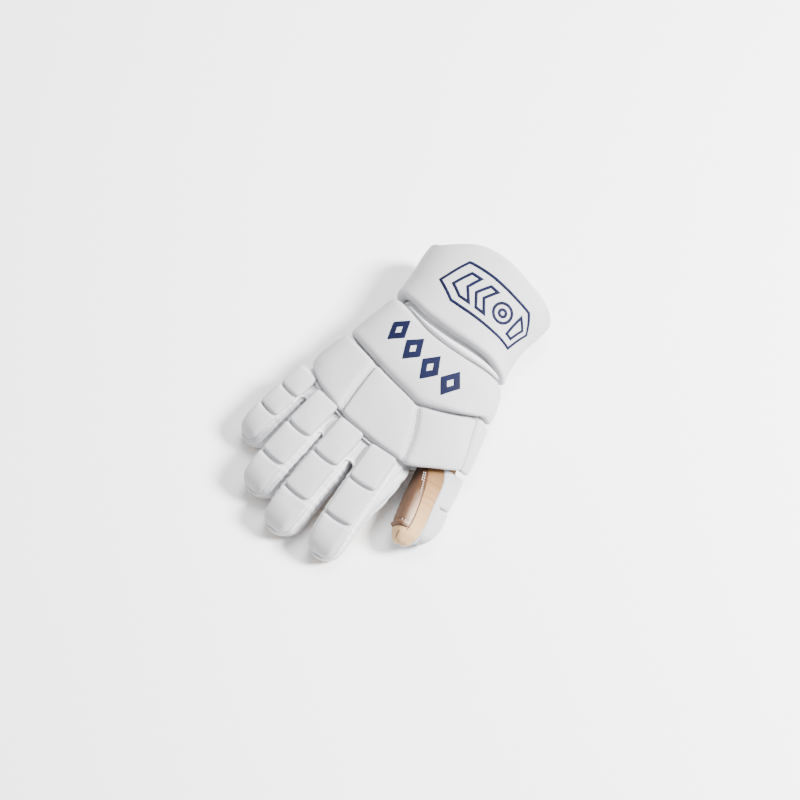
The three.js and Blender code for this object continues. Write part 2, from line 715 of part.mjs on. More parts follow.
function addThumbBasePad(base) {
  const { half, pad, lengths } = THUMB;
  const place = straightPad(half, pad, THUMB_PAD_START, PAD_MARGIN - lengths[0]);
  const size = [pad[0], lengths[0] + THUMB_PAD_START];
  const padCover = cover(place, size, PAD_ACROSS, PAD_ACROSS, pad[1]);
  piece('thumb_base_pad_cover', compact(padCover), WHITE_KNIT, base);
  const splint = inset(place, SPLINT.margin / size[0], SPLINT.margin / size[1]);
  const splintTop = FABRIC + SPLINT.under;
  const splintFoot = splintTop + SPLINT.thick;
  piece('thumb_splint', slab(splint, steps(3), steps(2), splintTop, splintFoot), PLASTIC, base);
  const padFoam = foam(place, size, PAD_ACROSS, PAD_ACROSS, splintFoot + GAP, pad[1]);
  piece('thumb_base_pad_foam', padFoam, FOAM, base);
}

// A leather facing on the palm side of the thumb's tip.
function thumbLeather(half, length) {
  const place = (u, v, depth) => {
    const part = lerp(LEATHER.part[0], LEATHER.part[1], v);
    const [wide, high, lift] = [1, 2, 3].map((column) => readTable(TIP_FORM, part, column));
    const angle = radians(lerp(LEATHER.turn[0], LEATHER.turn[1], u));
    const out = LEATHER.gap + depth;
    const x = (half[0] * wide + out) * signedPower(Math.cos(angle), SLEEVE_POWER);
    const z = lift + (half[1] * high + out) * signedPower(Math.sin(angle), SLEEVE_POWER);
    return [x, -part * length, z];
  };
  return slab(place, steps(6), LEATHER.rows, LEATHER.thick, 0);
}

// ---------------------------------------------------------------- assembly

// The origin is under the middle of the glove, at the level that it lies on.
function setOnTable(glove) {
  const box = new THREE.Box3().setFromObject(glove, true);
  const middle = box.getCenter(new THREE.Vector3());
  glove.position.set(-middle.x, -middle.y, -box.min.z);
  glove.updateMatrixWorld(true);
}

// A group that turns about a line across the wrist. What is added to it keeps the glove's own coordinates.
function bendAcross(name, y, parent) {
  const hinge = new THREE.Group();
  hinge.name = name;
  hinge.position.set(0, y, EDGE_Z);
  const shapes = new THREE.Group();
  shapes.position.set(0, -y, -EDGE_Z);
  hinge.add(shapes);
  parent.add(hinge);
  return shapes;
}

function build() {
  const glove = new THREE.Group();
  const hand = new THREE.Group();
  hand.name = 'hand';
  glove.add(hand);
  addPalm(hand);
  addHeelPad(hand);
  addLiner(hand);
  addBackPanels(hand);

  const knuckles = new THREE.Group();
  knuckles.name = 'knuckle_row';
  const [first, second] = KNUCKLE_AXIS.map((point) => new THREE.Vector3(...point));
  knuckles.position.copy(first);
  knuckles.quaternion.setFromUnitVectors(new THREE.Vector3(1, 0, 0), second.clone().sub(first).normalize());
  hand.add(knuckles);
  const bases = FINGERS.map((finger) => addFinger(finger, knuckles));
  addKnuckleShell(bases, knuckles);

  addThumb(hand);

  const roll = bendAcross('wrist_roll', WRIST_Y[0], hand);
  addRoll(roll);
  addFlexStrip(roll);
  addCuff(bendAcross('cuff', WRIST_Y[1], roll));
  setOnTable(glove);
  return glove;
}

export default build();
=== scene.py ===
import math

import bmesh
import bpy
import numpy as np
from mathutils import Matrix, Vector, noise
from mathutils.bvhtree import BVHTree


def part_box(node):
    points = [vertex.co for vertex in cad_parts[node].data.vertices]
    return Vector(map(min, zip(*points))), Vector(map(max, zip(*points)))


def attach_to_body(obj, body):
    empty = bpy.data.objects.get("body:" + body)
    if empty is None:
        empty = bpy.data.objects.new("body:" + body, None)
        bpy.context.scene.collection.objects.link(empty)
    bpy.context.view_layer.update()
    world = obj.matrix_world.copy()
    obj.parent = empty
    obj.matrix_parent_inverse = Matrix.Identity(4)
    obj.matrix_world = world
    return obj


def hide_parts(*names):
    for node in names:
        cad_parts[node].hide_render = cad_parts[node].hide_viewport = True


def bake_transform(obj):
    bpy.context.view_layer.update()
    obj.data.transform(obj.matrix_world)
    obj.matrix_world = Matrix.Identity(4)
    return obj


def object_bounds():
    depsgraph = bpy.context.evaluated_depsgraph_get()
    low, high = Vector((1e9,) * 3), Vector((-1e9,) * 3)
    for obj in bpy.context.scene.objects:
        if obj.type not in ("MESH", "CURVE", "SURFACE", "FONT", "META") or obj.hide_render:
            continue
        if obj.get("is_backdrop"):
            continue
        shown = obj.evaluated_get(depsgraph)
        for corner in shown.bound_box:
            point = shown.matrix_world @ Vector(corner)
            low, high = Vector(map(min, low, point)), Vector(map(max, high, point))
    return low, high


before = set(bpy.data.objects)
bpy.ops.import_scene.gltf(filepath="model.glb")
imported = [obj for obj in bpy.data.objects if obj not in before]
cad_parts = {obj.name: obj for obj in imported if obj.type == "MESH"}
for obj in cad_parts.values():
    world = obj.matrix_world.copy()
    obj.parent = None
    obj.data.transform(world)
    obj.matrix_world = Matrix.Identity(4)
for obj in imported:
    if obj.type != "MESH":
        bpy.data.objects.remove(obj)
cad_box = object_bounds()

# ---------------------------------------------------------------- driving dimensions, millimetres

GAP = 0.4
BACK_PAD = 13
EDGE_Z = 28
UNDER_Z = 3.5
SECTION_POWER = 2 / 2.4
SLEEVE_POWER = 2 / 3
SECTIONS = [
    [-70, -72, 116, 62], [-30, -78, 122, 69], [15, -70, 107, 77], [51, -63, 99, 80], [80, -60, 83, 82],
    [100, -61, 77.5, 83], [125, -66, 77, 86], [145, -69, 81, 88], [165, -69, 79, 88],
]
KNUCKLE_EDGE = [
    [-30, -26], [7, -32], [45, -52], [75, -63], [95, -66], [122, -63], [140, -47], [161, -32], [210, -18],
]
ROLL_LOW = [[-30, 22], [20, 13], [101, -10], [160, 26], [210, 34]]
ROLL_HIGH = [
    [-30, 73], [6, 73], [32, 70], [59, 63], [80, 55.5], [92, 54], [110, 56], [132, 61], [162, 67], [210, 68],
]
CUFF_LOW = [[-30, 79], [6, 79], [32, 77], [54, 72.5], [75, 68], [92, 68], [112, 71], [134, 74], [210, 75]]
CUFF_RIM = [
    [-30, 144], [3, 144], [43, 140], [58, 147], [70, 155], [80, 161], [94, 164], [123, 160], [210, 160],
]
SEAM_GAP = 1.3
PINKY_SEAM = (71, 72)
THUMB_SEAM = (101, 116)
BOXING_SEAM = (153, 164)
BACK_WRAP = (-16, 203)
ROLL_WRAP = (-10, 189)

FINGERS = [
    dict(name="pinky", root=(-63, -43.5, 30), yaw=-10, roll=-9, pitch=(9, 4, 4), lengths=(25, 26, 39),
         half=(15.5, 11.5), pad=(25, 10)),
    dict(name="ring", root=(-30, -55, 36), yaw=-4, roll=-3, pitch=(8, 5, 7), lengths=(40, 36, 41),
         half=(17, 12.5), pad=(28.5, 11)),
    dict(name="middle", root=(7, -62.5, 37.5), yaw=-1, roll=0, pitch=(8, 5, 6), lengths=(40, 42, 45),
         half=(18, 12.5), pad=(29.5, 11)),
    dict(name="index", root=(47, -63.5, 36.6), yaw=5, roll=2, pitch=(8, 5, 7), lengths=(37, 39, 43),
         half=(18, 12.5), pad=(29.5, 11)),
]
THUMB = dict(name="thumb", root=(92.5, -40.5, 24.6), yaw=15, roll=115, pitch=(3, -2), lengths=(33, 49),
             half=(17, 16.5), pad=(26, 11))
THUMB_PAD_START = 5
CROTCHES = [(-48, -66.5), (-14, -86), (29, -91)]
TIP_FORM = [[0, 1, 1, 0], [0.4, 0.99, 0.97, -0.2], [0.7, 0.9, 0.86, -0.9], [0.88, 0.7, 0.66, -2],
            [0.97, 0.4, 0.38, -3]]
TIP_COVER = 0.9
THUMB_COVER = 0.78
KNUCKLE_AXIS = [(-66, -41, 29), (48, -61, 36)]
SLEEVE_RISE = dict(pinky=4.5, ring=5.0, middle=5.0, index=5.0)  # how far a sleeve comes up round its pads
HEEL_X = (-38, 70)
HEEL_Y = (-8, 42)
HEEL_HEIGHT = 3
PALM_END = 44
PALM_FRONT = 10
PALM_THICK = 1.8
PALM_RIGHT = [[-66, 71], [-35, 75], [0, 91]]
LINER = 1.5

heel_low, heel_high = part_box("palm_heel_pad")
ORIGIN = np.array([
    (heel_low.x + heel_high.x) / 2 - sum(HEEL_X) / 2000,
    (heel_low.y + heel_high.y) / 2 - sum(HEEL_Y) / 2000,
    heel_low.z,
])


def to_frame(points):
    """Glove millimetres to metres in the CAD frame."""
    return np.asarray(points, float) * 0.001 + ORIGIN


# ---------------------------------------------------------------- small maths

def smooth(t):
    t = np.clip(t, 0, 1)
    return t * t * (3 - 2 * t)


def lerp(a, b, t):
    return a + (b - a) * t


def signed_power(value, power):
    return np.sign(value) * np.abs(value) ** power


def reader(rows, column=1, blur=5.0):
    """Straight lines through a table of [key, value...] rows, with the corners rounded over blur."""
    keys = np.array([row[0] for row in rows], float)
    values = np.array([row[column] for row in rows], float)
    shifts = np.linspace(-blur, blur, 9)

    def read(key):
        key = np.asarray(key, float)
        return sum(np.interp(key + shift, keys, values) for shift in shifts) / len(shifts)

    return read


def noise_at(points, scale, seed=0.0):
    """Smooth noise, about -1 to 1, at each point; scale is in cycles per millimetre."""
    points = np.asarray(points, float)
    flat = points.reshape(-1, points.shape[-1])
    shift = Vector((seed, seed * 1.7, -seed))
    found = [noise.noise(Vector((*p[:2], p[2] if len(p) > 2 else 0.0)) * scale + shift) for p in flat]
    return np.array(found).reshape(points.shape[:-1])


OUTER = [reader(SECTIONS, column, 12.0) for column in (1, 2, 3)]
knuckle_edge = reader(KNUCKLE_EDGE)
roll_low = reader(ROLL_LOW, blur=4.0)
roll_high = reader(ROLL_HIGH)
cuff_low = reader(CUFF_LOW)
cuff_rim = reader(CUFF_RIM)
palm_right = reader(PALM_RIGHT)
tip_wide, tip_high, tip_lift = (reader(TIP_FORM, column, 0.1) for column in (1, 2, 3))


def on_back(angle, y, depth):
    """Point of the glove's outer form, a given depth inside it."""
    angle, y, depth = np.broadcast_arrays(angle, y, depth)
    left, right, top = (read(y) for read in OUTER)
    across, up = np.cos(np.radians(angle)), np.sin(np.radians(angle))
    under = EDGE_Z - UNDER_Z - np.maximum(0, depth - BACK_PAD)
    reach = np.where(up >= 0, top - EDGE_Z - depth, under)
    x = (left + right) / 2 - ((right - left) / 2 - depth) * signed_power(across, SECTION_POWER)
    z = EDGE_Z + reach * signed_power(up, SECTION_POWER)
    return np.stack([x, y + 0 * x, z], -1)


def back_place(start, end, low, high):
    """Pad between two angles, each (at the cuff side, at the finger side), and two seams."""
    def place(u, v, depth):
        angle = lerp(lerp(start[1], start[0], v), lerp(end[1], end[0], v), u)
        return on_back(angle, lerp(low(angle), high(angle), v), depth)

    return place


def measure(place):
    """Width and length of a placed unit square, in millimetres."""
    t = np.linspace(0, 1, 40)
    middle = np.full(40, 0.5)
    width = np.linalg.norm(np.diff(place(t, middle, 0 * t), axis=0), axis=1).sum()
    length = np.linalg.norm(np.diff(place(middle, t, 0 * t), axis=0), axis=1).sum()
    return width, length


# ---------------------------------------------------------------- meshes

class Shape:
    """Collects points, faces, a material number for each face and a weave coordinate for each point."""

    def __init__(self):
        self.points = []
        self.faces = []
        self.marks = []
        self.weave = []
        self.count = 0

    def add(self, points, weave=None):
        points = np.asarray(points, float)
        flat = points.reshape(-1, 3)
        weave = flat[:, :2] if weave is None else np.asarray(weave, float).reshape(-1, 2)
        ids = np.arange(self.count, self.count + len(flat)).reshape(points.shape[:-1])
        self.points.append(flat)
        self.weave.append(weave)
        self.count += len(flat)
        return ids

    def quads(self, first, second, third, fourth, mark):
        rows = np.stack([np.ravel(r) for r in (first, second, third, fourth)], -1)
        self.faces.extend(rows.tolist())
        marks = np.broadcast_to(mark, np.shape(first)).ravel()
        self.marks.extend(marks.tolist())

    def grid(self, ids, mark=0, round_rows=False, round_columns=False, flip=False):
        if round_rows:
            ids = np.concatenate([ids, ids[:1]], 0)
        if round_columns:
            ids = np.concatenate([ids, ids[:, :1]], 1)
        a, b, c, d = ids[:-1, :-1], ids[1:, :-1], ids[1:, 1:], ids[:-1, 1:]
        if flip:
            a, b, c, d = d, c, b, a
        self.quads(a, b, c, d, mark)

    def loops(self, rows, mark=0, flip=False):
        """Joins closed loops of ids."""
        self.grid(np.stack(rows), mark, round_columns=True, flip=flip)

    def cap(self, loop, mark=0, flip=False):
        loop = list(loop) if not flip else list(loop)[::-1]
        self.faces.append([int(i) for i in loop])
        self.marks.append(mark)

    def build(self, name, materials, outward=True):
        mesh = bpy.data.meshes.new(name)
        points = to_frame(np.concatenate(self.points))
        mesh.from_pydata(points.tolist(), [], self.faces)
        mesh.polygons.foreach_set("material_index", np.array(self.marks, np.int32))
        mesh.polygons.foreach_set("use_smooth", np.ones(len(self.faces), bool))
        weave = np.concatenate(self.weave)
        corners = np.zeros(len(mesh.loops), np.int32)
        mesh.loops.foreach_get("vertex_index", corners)
        layer = mesh.uv_layers.new(name="weave")
        layer.data.foreach_set("uv", (weave[corners] * 0.1).ravel())
        for look in materials:
            mesh.materials.append(look)
        if outward:
            work = bmesh.new()
            work.from_mesh(mesh)
            bmesh.ops.remove_doubles(work, verts=work.verts, dist=1e-7)
            bmesh.ops.recalc_face_normals(work, faces=work.faces)
            work.to_mesh(mesh)
            work.free()
        thing = bpy.data.objects.new(name, mesh)
        bpy.context.scene.collection.objects.link(thing)
        return thing


def border(ids):
    """The edge of a grid of ids, in order round it."""
    return np.concatenate([ids[:-1, 0], ids[-1, :-1], ids[:0:-1, -1], ids[0, :0:-1]])


def tube_shape(shape, path, radius, sides=8, mark=0):
    """A closed round cord along a path; radius is one number or one for each point."""
    path = np.asarray(path, float)
    radius = np.broadcast_to(radius, len(path))
    along = np.gradient(path, axis=0)
    along /= np.linalg.norm(along, axis=1, keepdims=True)
    up = np.array([0.13, 0.21, 0.97])
    side = np.cross(along, up)
    side /= np.linalg.norm(side, axis=1, keepdims=True)
    top = np.cross(side, along)
    turn = np.arange(sides) * 2 * math.pi / sides
    offsets = side[:, None] * np.cos(turn)[None, :, None] + top[:, None] * np.sin(turn)[None, :, None]
    points = path[:, None] + offsets * radius[:, None, None]
    distance = np.concatenate([[0], np.cumsum(np.linalg.norm(np.diff(path, axis=0), axis=1))])
    weave = np.stack(np.broadcast_arrays(distance[:, None], (turn * radius.mean())[None, :]), -1)
    ids = shape.add(points, weave)
    shape.grid(ids, mark, round_columns=True)
    shape.cap(ids[0], mark)
    shape.cap(ids[-1], mark, flip=True)


def resample(path, step):
    path = np.asarray(path, float)
    distance = np.concatenate([[0], np.cumsum(np.linalg.norm(np.diff(path, axis=0), axis=1))])
    count = max(2, int(round(distance[-1] / step)))
    at = np.linspace(0, distance[-1], count + 1)
    return np.stack([np.interp(at, distance, path[:, k]) for k in range(3)], -1)


def rounded_path(points, count, closed=False):
    """A Catmull-Rom curve through points."""
    points = np.asarray(points, float)
    if closed:
        padded = np.concatenate([points[-1:], points, points[:2]])
        spans = len(points)
    else:
        padded = np.concatenate([2 * points[:1] - points[1:2], points, 2 * points[-1:] - points[-2:-1]])
        spans = len(points) - 1
    t = np.linspace(0, spans, count, endpoint=not closed)
    i = np.minimum(t.astype(int), spans - 1)
    f = (t - i)[:, None]
    a, b, c, d = (padded[i + k] for k in range(4))
    return 0.5 * (2 * b + (c - a) * f + (2 * a - 5 * b + 4 * c - d) * f**2 + (3 * b - a - 3 * c + d) * f**3)


# ---------------------------------------------------------------- materials

def grey(value):
    """One number as an opaque grey."""
    return (value, value, value, 1)


def srgb(red, green, blue):
    def linear(value):
        value /= 255
        return value / 12.92 if value <= 0.04045 else ((value + 0.055) / 1.055) ** 2.4
    return (linear(red), linear(green), linear(blue), 1.0)


class Nodes:
    """Short names for building a node tree."""

    def __init__(self, name):
        self.material = bpy.data.materials.new(name)
        self.material.use_nodes = True
        self.tree = self.material.node_tree
        self.shader = self.tree.nodes["Principled BSDF"]

    def node(self, kind, settings=None, **inputs):
        made = self.tree.nodes.new(kind)
        for key, value in (settings or {}).items():
            setattr(made, key, value)
        for key, value in inputs.items():
            by_number = key.startswith("in")
            socket = made.inputs[int(key[2:]) if by_number else key.replace("_", " ")]
            if isinstance(value, bpy.types.NodeSocket):
                self.tree.links.new(value, socket)
            else:
                socket.default_value = value
        return made

    def maths(self, operation, first, second=0.0, clamp=False):
        settings = dict(operation=operation, use_clamp=clamp)
        return self.node("ShaderNodeMath", settings, in0=first, in1=second).outputs[0]

    def place(self, which="UV", scale=(1, 1, 1)):
        source = self.node("ShaderNodeTexCoord").outputs[which]
        return self.node("ShaderNodeMapping", in0=source, in3=scale).outputs[0]

    def ramp(self, value, stops):
        made = self.node("ShaderNodeValToRGB", in0=value)
        band = made.color_ramp
        while len(band.elements) < len(stops):
            band.elements.new(0.5)
        for element, (position, colour) in zip(band.elements, stops):
            element.position = position
            element.color = colour
        return made.outputs[0]

    def noise(self, where, scale, detail=3.0, rough=0.5):
        made = self.node("ShaderNodeTexNoise", Vector=where, Scale=scale, Detail=detail, Roughness=rough)
        return made.outputs["Fac"]

    def bands(self, where, direction, scale, distortion=0.0):
        settings = dict(wave_type="BANDS", bands_direction=direction)
        made = self.node("ShaderNodeTexWave", settings, Vector=where, Scale=scale, Distortion=distortion,
                         Detail=1.0)
        return made.outputs["Fac"]

    def set(self, **values):
        for key, value in values.items():
            socket = self.shader.inputs[key.replace("_", " ")]
            if isinstance(value, bpy.types.NodeSocket):
                self.tree.links.new(value, socket)
            else:
                socket.default_value = value

    def bump(self, height, strength, distance, under=None):
        made = self.node("ShaderNodeBump", Height=height, Strength=strength, Distance=distance)
        if under is not None:
            self.tree.links.new(under, made.inputs["Normal"])
        return made.outputs[0]


def tint(colour, factor):
    return tuple(min(1.0, channel * factor) for channel in colour[:3]) + (1.0,)


def weave_height(nodes, period):
    """Over-and-under threads of a plain weave, from the weave coordinates in centimetres."""
    scale = 2 * math.pi / 20 / (period / 10)
    where = nodes.place()
    across = nodes.bands(where, "X", scale, 0.6)
    along = nodes.bands(where, "Y", scale, 0.6)
    half = nodes.place(scale=(0.5, 0.5, 1))
    switch = nodes.maths("MULTIPLY", nodes.bands(half, "X", scale), nodes.bands(half, "Y", scale))
    threads = nodes.maths("MAXIMUM", across, along)
    return nodes.maths("ADD", threads, switch)


def woven(name, colour, period=0.75, roughness=0.82, bump=0.35, soil=0.94, sheen=0.08):
    """A tight woven fabric with slight unevenness of colour."""
    nodes = Nodes(name)
    height = weave_height(nodes, period)
    where = nodes.place("Object")
    cloud = nodes.noise(where, 28.0, 4.0)
    fuzz = nodes.noise(where, 900.0, 2.0)
    base = nodes.ramp(cloud, [(0.3, tint(colour, soil)), (0.68, colour)])
    mixed = nodes.node("ShaderNodeMix", dict(data_type="RGBA", blend_type="MULTIPLY"), in0=0.45)
    nodes.tree.links.new(base, mixed.inputs[6])
    grain = nodes.noise(where, 620.0, 2.0, 0.7)
    speckle = nodes.maths("ADD", nodes.maths("MULTIPLY", height, 0.4), grain)
    shade = nodes.ramp(speckle, [(0.45, grey(0.6)), (0.85, grey(1))])
    nodes.tree.links.new(shade, mixed.inputs[7])
    rough = nodes.maths("MULTIPLY_ADD", fuzz, 0.12)
    rough.node.inputs[2].default_value = roughness - 0.06
    normal = nodes.bump(fuzz, 0.25, 0.0002)
    normal = nodes.bump(height, bump, 0.00025, normal)
    nodes.set(Base_Color=mixed.outputs[2], Roughness=rough, Normal=normal)
    nodes.set(Sheen_Weight=sheen, Sheen_Roughness=0.45, Specular_IOR_Level=0.3)
    return nodes.material


def suede(name, colour, pale, dark, rub=(0.42, 0.62)):
    """Brushed leather, paler where it has rubbed, with a fine nap and small creases."""
    nodes = Nodes(name)
    where = nodes.place("Object")
    broad = nodes.noise(where, 45.0, 3.0, 0.6)
    nap = nodes.noise(where, 700.0, 4.0, 0.65)
    grain = nodes.node("ShaderNodeTexVoronoi", dict(feature="DISTANCE_TO_EDGE"), Vector=where, Scale=420.0)
    base = nodes.ramp(broad, [(rub[0] - 0.14, dark), (rub[0], colour), (rub[1], pale)])
    mixed = nodes.node("ShaderNodeMix", dict(data_type="RGBA", blend_type="MULTIPLY"), in0=0.5)
    nodes.tree.links.new(base, mixed.inputs[6])
    nodes.tree.links.new(nodes.ramp(nap, [(0.3, grey(0.72)), (0.65, grey(1))]), mixed.inputs[7])
    normal = nodes.bump(nap, 0.5, 0.0004)
    normal = nodes.bump(grain.outputs["Distance"], 0.25, 0.0004, normal)
    nodes.set(Base_Color=mixed.outputs[2], Roughness=nodes.ramp(nap, [(0.2, grey(0.62)), (0.8, grey(0.9))]))
    nodes.set(Normal=normal, Sheen_Weight=0.06, Sheen_Roughness=0.5, Specular_IOR_Level=0.2)
    return nodes.material


def worn_leather(name, along, rub_from, rub_to, rubbed):
    """Suede whose colour changes along the digit, and which has rubbed pale beside a seam.

    along is a list of (part of the length, colour). The weave coordinates are in centimetres.
    """
    nodes = Nodes(name)
    split = nodes.node("ShaderNodeSeparateXYZ", in0=nodes.place())
    where = nodes.place("Object")
    nap = nodes.noise(where, 800.0, 4.0, 0.65)
    cloud = nodes.noise(where, 120.0, 3.0)
    reach = nodes.maths("MULTIPLY_ADD", cloud, 0.16)
    reach.node.inputs[2].default_value = -0.08
    reach = nodes.maths("ADD", reach, nodes.maths("MULTIPLY", split.outputs[1], 10 / THUMB_LENGTH))
    base = nodes.ramp(reach, along)
    near_seam = nodes.ramp(split.outputs[0], [(rub_from, grey(1)), (rub_to, grey(0))])
    far_along = nodes.ramp(reach, [(0.3, grey(0)), (0.62, grey(1))])
    rubbing = nodes.maths("MULTIPLY", nodes.maths("MULTIPLY", near_seam, far_along), 0.9)
    worn = nodes.node("ShaderNodeMix", dict(data_type="RGBA"), in0=rubbing)
    nodes.tree.links.new(base, worn.inputs[6])
    worn.inputs[7].default_value = rubbed
    mixed = nodes.node("ShaderNodeMix", dict(data_type="RGBA", blend_type="MULTIPLY"), in0=0.45)
    nodes.tree.links.new(worn.outputs[2], mixed.inputs[6])
    nodes.tree.links.new(nodes.ramp(nap, [(0.3, grey(0.75)), (0.65, grey(1))]), mixed.inputs[7])
    rough = nodes.ramp(nap, [(0.2, grey(0.6)), (0.8, grey(0.85))])
    nodes.set(Base_Color=mixed.outputs[2], Roughness=rough, Normal=nodes.bump(nap, 0.5, 0.0004))
    nodes.set(Sheen_Weight=0.05, Specular_IOR_Level=0.25)
    return nodes.material


def speckled_mesh(name, colour, dark):
    """Open knitted mesh: small dark holes in rows."""
    nodes = Nodes(name)
    where = nodes.place("Object")
    cells = nodes.node("ShaderNodeTexVoronoi", dict(feature="F1"), Vector=where, Scale=720.0, Randomness=0.65)
    cloud = nodes.noise(where, 160.0, 3.0)
    holes = nodes.ramp(cells.outputs["Distance"], [(0.12, dark), (0.34, colour)])
    mixed = nodes.node("ShaderNodeMix", dict(data_type="RGBA"), in0=cloud)
    nodes.tree.links.new(holes, mixed.inputs[6])
    mixed.inputs[7].default_value = colour
    normal = nodes.bump(cells.outputs["Distance"], 0.7, 0.0006)
    nodes.set(Base_Color=mixed.outputs[2], Roughness=nodes.maths("MULTIPLY_ADD", cloud, 0.2), Normal=normal)
    nodes.shader.inputs["Roughness"].links[0].from_node.inputs[2].default_value = 0.72
    nodes.set(Sheen_Weight=0.15, Specular_IOR_Level=0.3)
    return nodes.material


def cellular(name, colour, scale=900.0, bump=0.5):
    """Closed-cell foam: fine pits."""
    nodes = Nodes(name)
    where = nodes.place("Object")
    cells = nodes.node("ShaderNodeTexVoronoi", dict(feature="F1"), Vector=where, Scale=scale)
    cloud = nodes.noise(where, 60.0)
    base = nodes.ramp(cloud, [(0.3, tint(colour, 0.9)), (0.7, colour)])
    normal = nodes.bump(cells.outputs["Distance"], bump, 0.0004)
    nodes.set(Base_Color=base, Roughness=nodes.ramp(cloud, [(0, grey(0.85)), (1, grey(0.97))]))
    nodes.set(Normal=normal, Specular_IOR_Level=0.2)
    return nodes.material


def moulded(name, colour):
    """Moulded sheet plastic with a fine spark texture."""
    nodes = Nodes(name)
    where = nodes.place("Object")
    spark = nodes.noise(where, 1500.0, 3.0)
    cloud = nodes.noise(where, 40.0)
    base = nodes.ramp(cloud, [(0.3, tint(colour, 0.85)), (0.7, tint(colour, 1.1))])
    nodes.set(Base_Color=base, Roughness=nodes.ramp(spark, [(0.2, grey(0.42)), (0.8, grey(0.6))]))
    nodes.set(Normal=nodes.bump(spark, 0.3, 0.0002), Specular_IOR_Level=0.5)
    return nodes.material


def twill_print(name, colour):
    """Sewn-on dark lettering cloth: a slight satin of fine threads."""
    nodes = Nodes(name)
    where = nodes.place("Object")
    threads = nodes.bands(where, "DIAGONAL", 260.0, 0.5)
    cloud = nodes.noise(where, 90.0)
    base = nodes.ramp(cloud, [(0.3, tint(colour, 0.8)), (0.7, tint(colour, 1.25))])
    nodes.set(Base_Color=base, Roughness=nodes.ramp(threads, [(0, grey(0.55)), (1, grey(0.75))]))
    nodes.set(Normal=nodes.bump(threads, 0.25, 0.0002), Specular_IOR_Level=0.15)
    return nodes.material


THUMB_LENGTH = sum(THUMB["lengths"])
WHITE = srgb(184, 184, 187)
PAD = woven("pad_weave", WHITE)
KNIT = woven("side_knit", srgb(206, 206, 209), period=1.1, bump=0.5, soil=0.92)
LINING = woven("lining_cloth", srgb(205, 207, 214), period=1.4, roughness=0.92, bump=0.5)
WELT = woven("welt_tape", srgb(232, 232, 235), period=0.6, bump=0.25)
THREAD = woven("stitch_thread", srgb(240, 240, 240), period=0.35, bump=0.3)
DARK_THREAD = woven("seam_shadow_thread", srgb(70, 70, 76), period=0.35, bump=0.3)
BEIGE_ALONG = [(0.05, srgb(112, 78, 42)), (0.4, srgb(160, 122, 80)), (0.8, srgb(190, 154, 112))]
BROWN_ALONG = [(0.05, srgb(72, 42, 18)), (0.45, srgb(84, 56, 36)), (0.8, srgb(104, 76, 56))]
BEIGE = worn_leather("beige_suede", BEIGE_ALONG, 0.01, 0.02, srgb(190, 154, 112))
BROWN = worn_leather("brown_suede", BROWN_ALONG, 0.3, 1.2, srgb(178, 150, 130))
PALM_SUEDE = suede("palm_suede", srgb(196, 166, 130), srgb(208, 182, 150), srgb(168, 136, 100))
PATCH_SUEDE = suede("patch_suede", srgb(136, 102, 76), srgb(162, 130, 106), srgb(110, 80, 58))
LEATHER_SEAM = suede("leather_seam", srgb(66, 44, 24), srgb(82, 58, 36), srgb(50, 32, 16))
MESH = speckled_mesh("gusset_mesh", srgb(176, 178, 182), srgb(44, 46, 48))
FOAM = cellular("pad_foam", srgb(238, 230, 205))
PLASTIC = moulded("moulded_insert", srgb(70, 73, 78))
NAVY = twill_print("navy_print", srgb(4, 9, 42))


# ---------------------------------------------------------------- attaching pieces

def attach(piece, body=None, across=None, start=None, end=None, replaces=()):
    """Parents a piece to its body and hides the CAD nodes it stands for; a piece with no body has its
    transform baked in place, and across, start and end are not used.
    """
    if body:
        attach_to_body(piece, body)
    else:
        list(across)
        tuple(to_frame(start))
        tuple(to_frame(end))
        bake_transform(piece)
    if replaces:
        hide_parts(*replaces)
    return piece


# ---------------------------------------------------------------- pads

def rim_lines(half, shoulder, step, rims=5):
    """Grid lines across a pad, close together over its rounded shoulders."""
    inner = half - shoulder
    turns = [math.radians(90 * k / rims) for k in range(rims)]
    outer = [half - shoulder * (1 - math.cos(turn)) for turn in turns]
    count = max(4, int(round(2 * inner / step)))
    return np.array([-x for x in outer] + list(np.linspace(-inner, inner, count + 1)) + outer[::-1])


def round_corners(x, y, half, corners):
    """Bends a rectangle's grid so that each ring of it has round corners, and gives each point's inset."""
    a, b = half
    inset = np.minimum(a - np.abs(x), b - np.abs(y))
    ring_a, ring_b = a - inset, b - inset
    corner = np.where(y < 0, corners[0], corners[1])
    radius = np.maximum(corner - inset * 0.8, 0.02)
    radius = np.minimum(radius, np.minimum(ring_a, ring_b))
    on_end = (b - np.abs(y)) <= (a - np.abs(x))
    part_end = np.clip((np.abs(x) - (ring_a - radius)) / np.maximum(radius, 1e-6), 0, 1)
    part_side = np.clip((np.abs(y) - (ring_b - radius)) / np.maximum(radius, 1e-6), 0, 1)
    turn = np.where(on_end, part_end, 2 - part_side) * math.pi / 4
    in_corner = np.where(on_end, part_end > 0, part_side > 0)
    px = np.where(in_corner, ring_a - radius + radius * np.sin(turn), np.abs(x))
    py = np.where(in_corner, ring_b - radius + radius * np.cos(turn), np.abs(y))
    return np.sign(x) * px, np.sign(y) * py, inset


